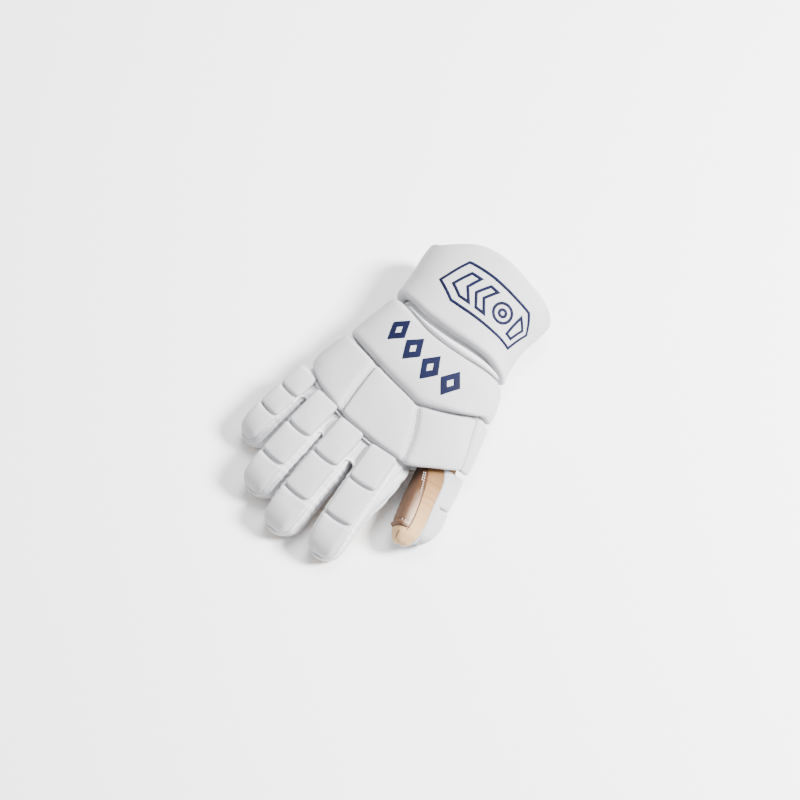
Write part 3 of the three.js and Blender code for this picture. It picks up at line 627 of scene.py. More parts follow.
def pad_shape(place, size, depth, corners=(4, 4), shoulder=(4, 4), crown=2.0, pull=0.7, flange=0.0,
              flange_end=0.0, foot=None, step=1.6, pucker=0.3, seed=1.0, dip=None):
    """A crowned pad with rounded shoulders, walls that pull in at the sewn foot, and a flange.

    place(u, v, depth) puts it on the glove. shoulder is (how far in, how far down) the rounding reaches.
    """
    half = (size[0] / 2, size[1] / 2)
    xs, ys = rim_lines(half[0], shoulder[0], step), rim_lines(half[1], shoulder[0], step)
    x, y = np.meshgrid(xs, ys, indexing="ij")
    px, py, inset = round_corners(x, y, half, corners)
    foot = foot or (lambda sx, sy: 0 * sx)

    def put(qx, qy, down):
        return place(0.5 + qx / size[0], 0.5 + qy / size[1], down)

    near = np.clip(inset / shoulder[0], 0, 1)
    round_off = shoulder[1] * (1 - np.sqrt(np.clip(1 - (1 - near) ** 2, 0, 1)))
    middle = (1 - (x / half[0]) ** 2) * (1 - (y / half[1]) ** 2)
    flat = np.stack([px, py], -1)
    creases = noise_at(flat, 0.23, seed) * np.exp(-inset / 3.5) * pucker
    swell = noise_at(flat, 0.045, seed + 5) * 0.35 * np.clip(inset / 6, 0, 1)
    down = round_off + crown * (1 - middle) + np.abs(creases) + swell - 0.15
    if dip is not None:
        down = down + dip(px, py)
    down = np.maximum(down, 0)

    shape = Shape()
    top = shape.add(put(px, py, down), flat)
    shape.grid(top)
    edge = border(top)
    flat_edge = border(np.arange(x.size).reshape(x.shape))
    ex, ey, edge_down = px.ravel()[flat_edge], py.ravel()[flat_edge], down.ravel()[flat_edge]
    forward_x, forward_y = np.roll(ex, -1) - np.roll(ex, 1), np.roll(ey, -1) - np.roll(ey, 1)
    length = np.hypot(forward_x, forward_y)
    nx, ny = forward_y / length, -forward_x / length
    if (nx * ex).sum() < 0:
        nx, ny = -nx, -ny
    ends = np.where(ny * ey > 0, np.clip(ny, 0, 1), 0) * flange_end
    reach = np.abs(nx) * flange + ends
    rings = [(0.3, 0.12, 0), (0.62, 0.05, 0), (0.86, -0.45, 0), (0.97, -1, 0)]
    lip = 0.9 if flange else 0.0
    loops = [edge]

    def ring(offset, part, lift):
        qx, qy = ex + nx * offset, ey + ny * offset
        full = depth + foot(qx, qy)
        level = lerp(edge_down, full, part) if lift is None else full - lift
        return shape.add(put(qx, qy, level), np.stack([ex + nx * part * depth, ey + ny * part * depth], -1))

    for part, bulge, _ in rings:
        loops.append(ring(bulge * pull, part, None))
    shape.flange_lines = []
    if lip:
        qx, qy = ex + nx * reach * 0.55, ey + ny * reach * 0.55
        line = put(qx, qy, depth + foot(qx, qy) - lip - 0.15)
        wide = reach > 0.75 * max(flange, flange_end)
        first = int(np.argmin(wide))
        line, wide = np.roll(line, -first, axis=0), np.roll(wide, -first)
        steps_up = np.flatnonzero(np.diff(wide.astype(int)) == 1) + 1
        steps_down = list(np.flatnonzero(np.diff(wide.astype(int)) == -1) + 1) + [len(wide)]
        shape.flange_lines = [line[a:b] for a, b in zip(steps_up, steps_down) if b - a > 3]
        loops.append(ring(reach * 0.5 - pull * 0.5, 1, lip))
        loops.append(ring(reach, 1, lip))
        loops.append(ring(reach + 0.25, 1, lip * 0.5))
        loops.append(ring(reach, 1, 0))
    shape.loops(loops)
    scale_x, scale_y = 1 - 2 * pull / size[0], 1 - 2 * pull / size[1]
    bx, by = px * scale_x, py * scale_y
    under = shape.add(put(bx, by, depth + foot(bx, by)), flat)
    shape.loops([loops[-1], border(under)], 1)
    shape.grid(under, 1, flip=True)
    return shape


def core_shape(place, size, top, depth, margin, corners=(3, 3), step=4.0, foot=None):
    """The foam or plastic inside a pad: a plain rounded slab between two depths."""
    inner = (size[0] - 2 * margin, size[1] - 2 * margin)

    def inside(u, v, down):
        return place(0.5 + (u - 0.5) * inner[0] / size[0], 0.5 + (v - 0.5) * inner[1] / size[1], down + top)

    round_by = min(2.0, (depth - top) * 0.4)
    return pad_shape(inside, inner, depth - top, corners, (round_by, round_by), 0.4, 0.1, step=step,
                     pucker=0.05, foot=foot)


UP = np.array([0.0, 0.0, 1.0])


def add_stitch(shape, a, b, width=0.6, height=0.4, up=UP, mark=0):
    """One thread stitch lying on the surface from a to b."""
    forward = b - a
    length = np.linalg.norm(forward)
    forward = forward / length
    side = np.cross(forward, up)
    side /= np.linalg.norm(side)
    top = np.cross(side, forward)
    turn = np.arange(6) * math.pi / 3
    ring = side[None] * (np.cos(turn) * width / 2)[:, None] + top[None] * (np.sin(turn) * height)[:, None]
    rows = [shape.add(a + forward * length * at + ring) for at in (0.2, 0.8)]
    tips = [shape.add(point[None])[0] for point in (a, b)]
    shape.loops(rows, mark)
    for row, tip, order in ((rows[0], tips[0], 1), (rows[1], tips[1], -1)):
        for i in range(6):
            corner = [int(row[i]), int(row[(i + 1) % 6]), int(tip)]
            shape.faces.append(corner[::order])
            shape.marks.append(mark)


def stitch_row(shape, path, spacing=3.2, fill=0.66, **look):
    """A row of stitches along a path of points that lie on the surface."""
    path = resample(path, spacing)
    for a, b in zip(path[:-1], path[1:]):
        add_stitch(shape, lerp(a, b, 0.5 - fill / 2), lerp(a, b, 0.5 + fill / 2), **look)


# ---------------------------------------------------------------- back of the hand, roll and cuff

def seam_shift(seam, shift):
    return tuple(angle + shift for angle in seam)


def panel_low(angle):
    return knuckle_edge(angle) + SEAM_GAP


def panel_high(angle):
    return roll_low(angle) - SEAM_GAP


def roll_front(angle):
    return roll_low(angle) + SEAM_GAP


PANEL_ENDS = [(angle, angle) for angle in BACK_WRAP]
PANELS = [
    ("pinky_side_panel", PANEL_ENDS[0], seam_shift(PINKY_SEAM, -1.3), 2.0),
    ("centre_panel", seam_shift(PINKY_SEAM, 1.3), seam_shift(THUMB_SEAM, -1.3), 2.0),
    ("thumb_side_panel", seam_shift(THUMB_SEAM, 1.3), seam_shift(BOXING_SEAM, -0.4), 2.0),
    ("thumb_edge_boxing", seam_shift(BOXING_SEAM, 0.4), PANEL_ENDS[1], 2.0),
]


def back_pad(name, place, body, crown=2.0, corners=(6, 4), shoulder=(5, 5), step=2.0, seed=1.0, dip=None):
    """A large pad and the foam in it."""
    size = measure(place)
    cover = pad_shape(place, size, BACK_PAD, corners, shoulder, crown, 0.8, step=step, seed=seed, dip=dip,
                      pucker=0.45)
    piece = cover.build(name, [PAD, LINING])
    attach(piece, body, replaces=[f"{name}_cover"])
    core = core_shape(place, size, 5.2 if name == "cuff" else 2.6, BACK_PAD - 0.2, 3.4)
    foam = core.build(f"{name}_core", [FOAM, FOAM])
    attach(foam, body, replaces=[f"{name}_foam"])
    return piece, place, size


def add_back_panels():
    made = {}
    for count, (name, start, end, step) in enumerate(PANELS):
        place = back_place(start, end, panel_low, panel_high)
        narrow = name == "thumb_edge_boxing"
        shoulder = (3.5, 3.5) if narrow else (4.2, 4.6)
        crown = 1.4 if narrow else 2.2
        made[name] = back_pad(name, place, "hand", crown, (4, 4), shoulder, step, count + 1.0)
    add_channel("pinky_side_channel", PINKY_SEAM, 7.0)
    add_channel("thumb_side_channel", THUMB_SEAM, 8.0)
    return made


def add_channel(name, seam, seed):
    """The shallow sewn channel between two panels, with a zigzag of stitches between two straight rows."""
    place = back_place(seam_shift(seam, -3.4), seam_shift(seam, 3.4), panel_low, panel_high)
    across, along = np.linspace(0, 1, 15), np.linspace(0.012, 0.988, 60)
    u, v = np.meshgrid(across, along, indexing="ij")
    ends = np.minimum(v, 1 - v) * 55
    level = 4.3 + 0.5 * np.cos((u - 0.5) * 2 * math.pi) + 3.0 * np.exp(-ends / 1.8)
    level = level + 0.45 * noise_at(np.stack([u * 9, v * 55], -1), 0.3, seed)
    shape = Shape()
    weave = np.stack([u * 10, v * 55], -1)
    top = shape.add(place(u, v, level), weave)
    bottom = shape.add(place(u, v, np.full(u.shape, 10.0)), weave)
    shape.grid(top)
    shape.grid(bottom, flip=True)
    shape.loops([border(top), border(bottom)])
    piece = shape.build(name, [PAD])
    attach(piece, "hand")

    def on_channel(part, t):
        i = np.interp(part, across, np.arange(15))
        return place(part, t, np.interp(t, along, level[int(round(float(i)))]) - 0.25)

    thread = Shape()
    t = np.linspace(0.05, 0.95, 60)
    for part in (0.34, 0.66):
        row = np.array([on_channel(part, x) for x in t])
        stitch_row(thread, row, 3.0, mark=0 if part < 0.5 else 1)
    legs = 22
    corners = [on_channel(0.42 if k % 2 else 0.58, 0.06 + 0.88 * k / legs) for k in range(legs + 1)]
    for a, b in zip(corners[:-1], corners[1:]):
        add_stitch(thread, lerp(a, b, 0.1), lerp(a, b, 0.9), 0.55, 0.35)
    piece = thread.build(f"{name}_stitches", [THREAD, DARK_THREAD], outward=False)
    attach(piece, "hand")


def add_roll():
    ends = [(angle, angle) for angle in ROLL_WRAP]
    place = back_place(ends[0], ends[1], roll_front, roll_high)
    return back_pad("wrist_roll", place, "wrist_roll", 2.6, (6, 6), (6, 6), 2.2, 11.0)


def add_cuff():
    ends = [(angle, angle) for angle in BACK_WRAP]
    place = back_place(ends[0], ends[1], cuff_low, cuff_rim)
    made = back_pad("cuff", place, "cuff", 1.6, (7, 10), (5, 6), 2.2, 17.0)
    shield = core_shape(place, made[2], 3.4, 5.0, 12)
    piece = shield.build("cuff_shield_sheet", [PLASTIC, PLASTIC])
    attach(piece, "cuff", replaces=["cuff_shield"])
    return made


FLEX_WIDTH = (55, 160)


def add_flex_strip():
    """The narrow padded strip in the groove in front of the cuff."""
    def place(u, v, depth):
        angle = lerp(FLEX_WIDTH[0], FLEX_WIDTH[1], u)
        rise = on_back(angle, roll_high(92.0), 0)[..., 2] - EDGE_Z
        near = roll_high(angle) + 1
        far = cuff_low(angle) - 1.2 - rise * math.tan(math.radians(6))
        return on_back(angle, lerp(near, far, v), depth + 2.4)

    size = measure(place)
    shape = pad_shape(place, size, 9, (3, 3), (3.2, 3.2), 1.0, 0.2, step=1.8, seed=23.0)
    piece = shape.build("wrist_flex_strip_pad", [KNIT, LINING])
    attach(piece, "wrist_roll", replaces=["wrist_flex_strip"])


# ---------------------------------------------------------------- fingers

def turned(axis, degrees):
    return np.array(Matrix.Rotation(math.radians(degrees), 4, axis))


def moved(x, y, z):
    return np.array(Matrix.Translation((x, y, z)))


def digit_frames(digit):
    """The frame of each segment: X is the joint's axis, -Y points to the tip, +Z is the back."""
    lengths, pitch = digit["lengths"], digit["pitch"]
    base = moved(*digit["root"]) @ turned("Z", digit["yaw"])
    base = base @ turned("X", pitch[0]) @ turned("Y", digit["roll"])
    frames = [base]
    for length, bend in zip(lengths, pitch[1:]):
        frames.append(frames[-1] @ moved(0, -length, 0) @ turned("X", bend))
    return frames


def apply_frame(matrix, x, y, z):
    x, y, z = np.broadcast_arrays(x, y, z)
    points = np.stack([x, y, z, np.ones(x.shape)], -1)
    return (points @ matrix.T)[..., :3]


BEND_ZONE = 7.0


def along_digit(digit, x, reach, z):
    """Point at a distance along a digit, bending smoothly through its joints."""
    frames = digit_frames(digit)
    reach = np.asarray(reach, float)
    start = 0.0
    result = apply_frame(frames[0], x, -reach, z)
    for length, matrix in zip(digit["lengths"], frames[1:]):
        start += length
        weight = smooth((reach - start + BEND_ZONE) / (2 * BEND_ZONE))
        weight = np.broadcast_to(weight, result.shape[:-1])[..., None]
        result = result * (1 - weight) + apply_frame(matrix, x, start - reach, z) * weight
    return result


def digit_length(digit):
    return sum(digit["lengths"])


def sleeve_rise(digit, part):
    """How far the back of a sleeve is raised round its pads; part is the share of the tip's length."""
    return SLEEVE_RISE.get(digit["name"], 0) * (1 - 0.75 * smooth(part))


def digit_section(digit, reach, turn, grow=0.0):
    """x and z of the sleeve's outline at a distance along a digit; turn is in degrees, 90 on the back."""
    last = digit["lengths"][-1]
    part = np.clip((reach - (digit_length(digit) - last)) / last, 0, 1)
    close = np.sqrt(np.clip(1 - (np.clip(part - 0.86, 0, 1) / 0.14) ** 2, 0, 1))
    wide = tip_wide(np.minimum(part, 0.9)) * close
    high = tip_high(np.minimum(part, 0.9)) * close
    across, up = np.cos(np.radians(turn)), np.sin(np.radians(turn))
    rise = sleeve_rise(digit, part) * close * (up > 0)
    x = (digit["half"][0] * wide + grow * close) * signed_power(across, SLEEVE_POWER)
    half_height = digit["half"][1] * high + rise + grow * close
    z = tip_lift(np.minimum(part, 0.95)) + half_height * signed_power(up, SLEEVE_POWER)
    return x, z


SIDE_PUFF = dict(pinky=6.0, ring=6.5, middle=4.5, index=2.0)  # fullness of the side that faces the thumb


def finger_creases(digit, reach, turn, points, seed):
    """Soft folds across the sides of a sleeve, deepest beside the joints, in millimetres outward."""
    side = np.abs(np.cos(np.radians(turn))) ** 1.5
    joints = np.cumsum(digit["lengths"])[:-1]
    near = sum(np.exp(-((reach - joint) / 9.0) ** 2) for joint in joints)
    ripple = np.sin(reach * 0.9 + 2.2 * noise_at(points, 0.05, seed))
    loose = noise_at(points, 0.11, seed + 3)
    puff = SIDE_PUFF.get(digit["name"], 0)
    full = np.clip(np.cos(np.radians(turn)), 0, 1) ** 1.5 * puff * smooth(reach / 50)
    return side * (ripple * (0.12 + 0.4 * near) + 0.6 * loose) + full


LEATHER_TURNS = (208, 332)


def sleeve_shape(digit, reach_from, reach_to, seed, rows=44, sides=48, marks=None):
    """A stretch of a digit's fabric tube, with its inner face."""
    turn = np.linspace(0, 360, sides, endpoint=False)
    total = digit_length(digit)
    t = np.linspace(0, 1, rows)
    if reach_to >= total:
        t = 1 - (1 - t) ** 1.35
    reach = lerp(reach_from, min(reach_to, total - 0.15), t)
    grid_reach, grid_turn = np.meshgrid(reach, turn, indexing="ij")

    def skin(grow):
        x, z = digit_section(digit, grid_reach, grid_turn, grow)
        points = along_digit(digit, x, grid_reach, z)
        fold = finger_creases(digit, grid_reach, grid_turn, points, seed) if grow == 0 else 0
        fade = np.clip((total - grid_reach) / 12, 0, 1)
        x2, z2 = digit_section(digit, grid_reach, grid_turn, grow + fold * fade)
        return along_digit(digit, x2, grid_reach, z2)

    weave = np.stack([grid_turn / 360 * 2 * math.pi * digit["half"][0], grid_reach], -1)
    shape = Shape()
    outer = shape.add(skin(0), weave)
    inner = shape.add(skin(-LINER), weave)
    middle_turn = turn + 180 / sides
    if marks is None:
        column_marks = np.where((middle_turn > LEATHER_TURNS[0]) & (middle_turn < LEATHER_TURNS[1]), 1, 0)
    else:
        column_marks = marks(middle_turn)
    face_marks = np.broadcast_to(column_marks, (rows - 1, sides))
    shape.grid(outer, face_marks, round_columns=True)
    shape.grid(inner, 2, round_columns=True, flip=True)
    shape.loops([inner[0], outer[0]], 2)
    if reach_to >= total:
        shape.cap(outer[-1], 0)
        shape.cap(inner[-1], 2, flip=True)
    else:
        shape.loops([outer[-1], inner[-1]], 2)
    return shape


PIPING_TURNS = (33, 147)


def side_piping(digit, reach_from, reach_to, seed):
    """Piping along both upper edges of a stretch of a digit's sleeve."""
    shape = Shape()
    total = digit_length(digit)
    for turn in PIPING_TURNS:
        reach = np.linspace(reach_from, min(reach_to, total * 0.95), 50)
        x, z = digit_section(digit, reach, turn)
        points = along_digit(digit, x, reach, z)
        grow = finger_creases(digit, reach, turn, points, seed) * np.clip((total - reach) / 12, 0, 1) + 0.35
        x, z = digit_section(digit, reach, turn, grow)
        radius = 1.25 * np.clip((total * 0.97 - reach) / 14, 0.35, 1)
        tube_shape(shape, along_digit(digit, x, reach, z), radius)
    return shape


def joint_zone(digit, joint):
    """Where fabric turns at a digit's joint: two points on its centre line."""
    at = sum(digit["lengths"][:joint])
    reach = BEND_ZONE + 1
    return (along_digit(digit, 0.0, at - reach, 0.0), along_digit(digit, 0.0, at + reach, 0.0))


END_BOW = 1.8  # how far the middle of a pad's end stands forward of its corners


BASE_BACK = 1.2  # how far a base pad reaches back over the end of its sleeve


def finger_pad_place(digit, part, matrix):
    """place(u, v, depth) of a finger pad, and its size."""
    half, pad, length = digit["half"], digit["pad"], digit["lengths"][part]
    if part < 2:
        start = -0.25 if part else BASE_BACK

        def place(u, v, depth):
            x = (u - 0.5) * pad[0]
            bow = END_BOW * (1 - (2 * u - 1) ** 2) * (1 if part else smooth(v))
            y = lerp(start, 0.25 - length, v) - bow
            return apply_frame(matrix, x, y, half[1] + GAP + pad[1] - depth)
        return place, (pad[0], length - 0.25 + start)

    def tip_place(u, v, depth):
        reach = v * TIP_COVER
        x = (u - 0.5) * pad[0] * tip_wide(np.minimum(reach, 0.97)) ** 0.9
        top = tip_lift(reach) + half[1] * tip_high(np.clip(reach, 0, 0.97))
        thin = 1 - 0.5 * np.clip(v, 0, 1) ** 4
        bow = END_BOW * (1 - (2 * u - 1) ** 2) * (1 - smooth(v))
        return apply_frame(matrix, x, -0.25 - reach * length - bow, top + 2 * GAP + (pad[1] - depth) * thin)

    return tip_place, (pad[0], length * TIP_COVER)


PAD_SHOULDER = (3.0, 2.6)
PAD_CROWN = 2.0
PAD_FLANGE = 2.0


def sleeve_foot(digit):
    """How much lower than its crown the sleeve lies under a pad's edge."""
    def foot(x, y):
        part = np.clip(np.abs(x) / digit["half"][0], 0, 0.96)
        height = digit["half"][1] + SLEEVE_RISE.get(digit["name"], 0)
        return height * (1 - (1 - part**3) ** (1 / 3)) * 0.85
    return foot


def digit_pad(name, place, size, digit, body, tip=False, seed=1.0, core_top=2.6):
    """A pad on a digit with its stitched flange, and the foam in it."""
    corners = (3.2, 9.0) if tip else (3.2, 3.2)
    foot = sleeve_foot(digit)
    depth = digit["pad"][1] - SLEEVE_RISE.get(digit["name"], 0)
    shape = pad_shape(place, size, depth, corners, PAD_SHOULDER, PAD_CROWN, GAP, flange=PAD_FLANGE,
                      flange_end=2.4 if tip else 0.0, foot=foot, step=1.5, seed=seed, pucker=0.22)
    piece = shape.build(name, [PAD, LINING])
    attach(piece, body, replaces=[f"{name}_cover"])
    thread = Shape()
    for line in shape.flange_lines:
        stitch_row(thread, line, 2.4, width=0.45, height=0.28)
    stitches = thread.build(f"{name}_stitches", [THREAD], outward=False)
    attach(stitches, body)
    core = core_shape(place, size, core_top, depth - 0.2, 2.8)
    foam = core.build(f"{name}_core", [FOAM, FOAM])
    attach(foam, body, replaces=[f"{name}_foam"])


def add_finger(digit, seed):
    name = digit["name"]
    frames = digit_frames(digit)
    bodies = ["knuckle_row", f"{name}_middle", f"{name}_tip"]
    for part, label in enumerate(["base", "middle", "tip"]):
        place, size = finger_pad_place(digit, part, frames[part])
        digit_pad(f"{name}_{label}_pad", place, size, digit, bodies[part], part == 2, seed + part)
    half_way = digit["lengths"][0] + digit["lengths"][1] / 2
    near = sleeve_shape(digit, -3, half_way, seed)
    piece = near.build(f"{name}_sleeve_near", [KNIT, PALM_SUEDE, LINING])
    start, end = joint_zone(digit, 1)
    attach(piece, across=bodies[:2], start=start, end=end, replaces=[f"{name}_middle_sleeve"])
    far = sleeve_shape(digit, half_way, digit_length(digit), seed, rows=60)
    piece = far.build(f"{name}_sleeve_far", [KNIT, PALM_SUEDE, LINING])
    start, end = joint_zone(digit, 2)
    attach(piece, across=bodies[1:], start=start, end=end, replaces=[f"{name}_tip_sleeve"])
    for label, joint, stretch in (("near", 1, (1, half_way)), ("far", 2, (half_way, digit_length(digit)))):
        piece = side_piping(digit, *stretch, seed).build(f"{name}_piping_{label}", [WELT])
        start, end = joint_zone(digit, joint)
        attach(piece, across=bodies[joint - 1:joint + 1], start=start, end=end)


# ---------------------------------------------------------------- thumb

def thumb_marks(middle_turn):
    return np.where((middle_turn > 112) & (middle_turn < 300), 1, 0)


def add_thumb():
    digit = THUMB
    frames = digit_frames(digit)
    half, pad, lengths = digit["half"], digit["pad"], digit["lengths"]

    def base_place(u, v, depth):
        x = (u - 0.5) * pad[0]
        y = lerp(THUMB_PAD_START, 0.5 - lengths[0], v)
        return apply_frame(frames[0], x, y, half[1] + GAP + pad[1] - depth)

    def tip_place(u, v, depth):
        reach = v * THUMB_COVER
        x = (u - 0.5) * pad[0] * tip_wide(reach) ** 0.9
        top = tip_lift(reach) + half[1] * tip_high(reach)
        thin = 1 - 0.45 * np.clip(v, 0, 1) ** 4
        return apply_frame(frames[1], x, -0.5 - reach * lengths[1], top + 2 * GAP + (pad[1] - depth) * thin)

    base_size = (pad[0], lengths[0] - 0.5 + THUMB_PAD_START)
    digit_pad("thumb_base_pad", base_place, base_size, digit, "thumb_base", seed=41.0, core_top=5.0)
    splint = core_shape(base_place, base_size, 3.2, 4.6, 4.0)
    piece = splint.build("thumb_splint_sheet", [PLASTIC, PLASTIC])
    attach(piece, "thumb_base", replaces=["thumb_splint"])
    digit_pad("thumb_tip_pad", tip_place, (pad[0], lengths[1] * THUMB_COVER), digit, "thumb_tip", True, 43.0)

    split = lengths[0] / 2
    near = sleeve_shape(digit, -9, split, 31.0, rows=22, marks=thumb_marks)
    piece = near.build("thumb_sleeve_near", [MESH, BEIGE, LINING])
    zone = [along_digit(digit, 0.0, at, 0.0) for at in (-8.0, 6.0)]
    attach(piece, across=("hand", "thumb_base"), start=zone[0], end=zone[1],
           replaces=["thumb_base_sleeve"])
    far = sleeve_shape(digit, split, digit_length(digit), 31.0, rows=60, marks=thumb_marks)
    piece = far.build("thumb_sleeve_far", [MESH, BEIGE, LINING])
    start, end = joint_zone(digit, 1)
    attach(piece, across=("thumb_base", "thumb_tip"), start=start, end=end,
           replaces=["thumb_tip_sleeve"])
    add_thumb_patch(digit)
    add_thumb_wedge(digit)
    add_thumb_seams(digit)


PATCH_SEAM = [[2, 228], [9, 214], [18, 204], [28, 197], [40, 193], [60, 190], [70, 194]]  # reach and turn
PATCH_FAR = 300
PATCH_END = 0.81
WEDGE_NEAR = 92
WEDGE_SEAM = [[-4, 182], [4, 172], [12, 163], [30, 161], [46, 159], [60, 154], [70, 146], [76, 138]]
patch_seam = reader(PATCH_SEAM, blur=4.0)
wedge_seam = reader(WEDGE_SEAM, blur=4.0)


def on_thumb(reach, turn, lift):
    x, z = digit_section(THUMB, reach, turn, lift)
    return along_digit(THUMB, x, reach, z)


def thumb_sheet(name, reach, turn, thick, weave, look, replaces=()):
    """A sheet lying on the thumb's sleeve, over the thumb's middle joint."""
    start, end = joint_zone(THUMB, 1)
    shape = Shape()
    outer = shape.add(on_thumb(reach, turn, thick), weave)
    inner = shape.add(on_thumb(reach, turn, -0.6), weave)
    shape.grid(outer)
    shape.grid(inner, flip=True)
    shape.loops([border(outer), border(inner)])
    piece = shape.build(name, [look])
    attach(piece, across=("thumb_base", "thumb_tip"), start=start, end=end, replaces=replaces)


def add_thumb_patch(digit):
    """The darker leather overlay on the palm side, ending in a puckered fold before the tip."""
    total = digit_length(digit)
    r, w = np.meshgrid(np.linspace(3, total * PATCH_END, 84), np.linspace(0, 1, 36), indexing="ij")
    seam = patch_seam(r)
    t = lerp(seam, PATCH_FAR, w)
    ends = (total * PATCH_END - r) / 1.2
    fold = 1.1 * np.exp(-((r - total * PATCH_END + 2.4) / 1.3) ** 2)
    fold -= 0.7 * np.exp(-((r - total * PATCH_END + 5.2) / 1.2) ** 2)
    pucker = 0.45 * np.sin(t * 0.75) * np.exp(-((r - total * PATCH_END + 4) / 4) ** 2)
    edge = np.minimum(t - seam, PATCH_FAR - t) / 5
    thick = 0.2 + 1.2 * np.sqrt(np.clip(np.minimum(edge, ends), 0, 1)) + (fold + pucker) * np.clip(edge, 0, 1)
    weave = np.stack([(t - seam) * 0.3, r], -1)
    thumb_sheet("thumb_leather_patch", r, t, thick, weave, BROWN, ["thumb_leather"])


def add_thumb_wedge(digit):
    """The open mesh between the leather and the thumb's pads."""
    r, w = np.meshgrid(np.linspace(-3, digit_length(digit) * 0.93, 90), np.linspace(0, 1, 30), indexing="ij")
    seam = wedge_seam(r)
    t = lerp(WEDGE_NEAR, seam, w)
    edge = np.clip(np.minimum(seam - t, t - WEDGE_NEAR) / 3, 0, 1)
    ends = np.clip((digit_length(digit) * 0.93 - r) / 2, 0, 1)
    thick = 0.15 + 0.8 * np.sqrt(np.minimum(edge, ends)) + 0.25 * noise_at(np.stack([r, t], -1), 0.12, 47.0)
    weave = np.stack([t * 0.3, r], -1)
    thumb_sheet("thumb_side_mesh", r, t, thick, weave, MESH)


def add_thumb_seams(digit):
    """The sunk dark seam beside the patch, its stitches and the short seam on the tip."""
    start, end = joint_zone(digit, 1)
    total = digit_length(digit)
    seam = Shape()
    reach = np.linspace(4, total * 0.85, 90)
    radius = 0.5 * np.clip(np.minimum(reach, total * 0.86 - reach) / 4, 0.3, 1)
    tube_shape(seam, on_thumb(reach, patch_seam(reach) - 1.0, 0.35), radius, 6)
    reach = np.linspace(total * 0.87, total * 0.955, 24)
    turn = np.linspace(226, 250, 24)
    tube_shape(seam, on_thumb(reach, turn, 0.1), 0.42, 6)
    fold = np.linspace(0.04, 1, 40)
    reach = np.full(40, total * PATCH_END + 0.4)
    tube_shape(seam, on_thumb(reach, lerp(patch_seam(reach), 290, fold), 0.15), 0.45, 6)
    piece = seam.build("thumb_leather_seams", [LEATHER_SEAM])
    attach(piece, across=("thumb_base", "thumb_tip"), start=start, end=end)

    thread = Shape()
    for away, low, high in ((9, 9, 30), (17, 9, 19), (8, 54, 64), (24, 60, 64.5), (40, 60, 64.5)):
        reach = np.linspace(low, high, 30)
        row = on_thumb(reach, patch_seam(reach) + away, 1.45)
        stitch_row(thread, row, 2.6, fill=0.6, width=0.7, height=0.45)
    piece = thread.build("thumb_leather_stitches", [THREAD], outward=False)
    attach(piece, across=("thumb_base", "thumb_tip"), start=start, end=end)


# ---------------------------------------------------------------- palm and linings

def knuckle_line(x):
    first, second = KNUCKLE_AXIS
    return lerp(first[1], second[1], (x - first[0]) / (second[0] - first[0]))


def palm_floor(y):
    start = HEEL_Y[0] - 4
    arch = np.maximum(0, (start - y) / (start + 56))
    return HEEL_HEIGHT + GAP + 12 * arch**1.5


def palm_left(y):
    return OUTER[0](y) + 10


def add_palm():
    def place(u, v, depth):
        side = np.abs(2 * u - 1) ** 6
        guess = lerp(PALM_END, -55, v)
        x = lerp(palm_left(guess), palm_right(guess), u)
        y = lerp(PALM_END, knuckle_line(x) + PALM_FRONT, v)
        return np.stack([x, y, palm_floor(y) + 4 * side + depth], -1)

    shape = pad_shape(lambda u, v, d: place(u, v, d), (150, 92), PALM_THICK, (10, 6), (1.0, 1.0), 0.0, 0.1,
                      step=2.5, pucker=0.15, seed=51.0)
    piece = shape.build("palm_leather_sheet", [PALM_SUEDE, LINING])
    attach(piece, "hand", replaces=["palm_leather"])

    def heel(u, v, depth):
        x = lerp(*HEEL_X, u)
        y = lerp(*HEEL_Y, v)
        return np.stack([x, y, 0 * x + depth], -1)

    size = (HEEL_X[1] - HEEL_X[0], HEEL_Y[1] - HEEL_Y[0])
    shape = pad_shape(heel, size, HEEL_HEIGHT, (14, 14), (1.4, 1.4), 0.0, 0.1,
                      step=2.5, pucker=0.1, seed=53.0)
    piece = shape.build("palm_heel_patch", [PATCH_SUEDE, LINING])
    attach(piece, "hand", replaces=["palm_heel_pad"])


def lining_tube(name, ends, depth, slot, rows=24, sides=72, low=4.0, **how):
    """A sleeve right round the hand or wrist, between two y positions for each angle."""
    angle = np.linspace(0, 360, sides, endpoint=False)
    t = np.linspace(0, 1, rows)
    grid_t, grid_angle = np.meshgrid(t, angle, indexing="ij")
    first, second = ends(grid_angle)
    y = lerp(first, second, grid_t)

    def skin(extra):
        points = on_back(grid_angle, y, depth + extra)
        floor = np.maximum(palm_floor(y) + PALM_THICK + 0.6, low) if how.get("on_palm", True) else low
        points[..., 2] = np.maximum(points[..., 2], floor + extra)
        right = np.where(y < 20, np.interp(y, [-66, -35, 0, 20], [68, 72, 88, 200]), 200)
        points[..., 0] = np.minimum(points[..., 0], right - extra)
        return points

    outer_points = skin(0)
    ripple = noise_at(outer_points, 0.07, 61.0) * 0.5
    outer_points = skin(ripple)
    weave = np.stack([grid_angle * 1.4, y], -1)
    shape = Shape()
    outer, inner = shape.add(outer_points, weave), shape.add(skin(LINER), weave)
    shape.grid(outer, 0, round_columns=True)
    shape.grid(inner, 1, round_columns=True, flip=True)
    shape.loops([inner[0], outer[0]])
    shape.loops([outer[-1], inner[-1]])
    piece = shape.build(name, [KNIT, LINING])
    attach(piece, how.get("body"), how.get("across"), how.get("start"), how.get("end"),
           how.get("replaces", ()))


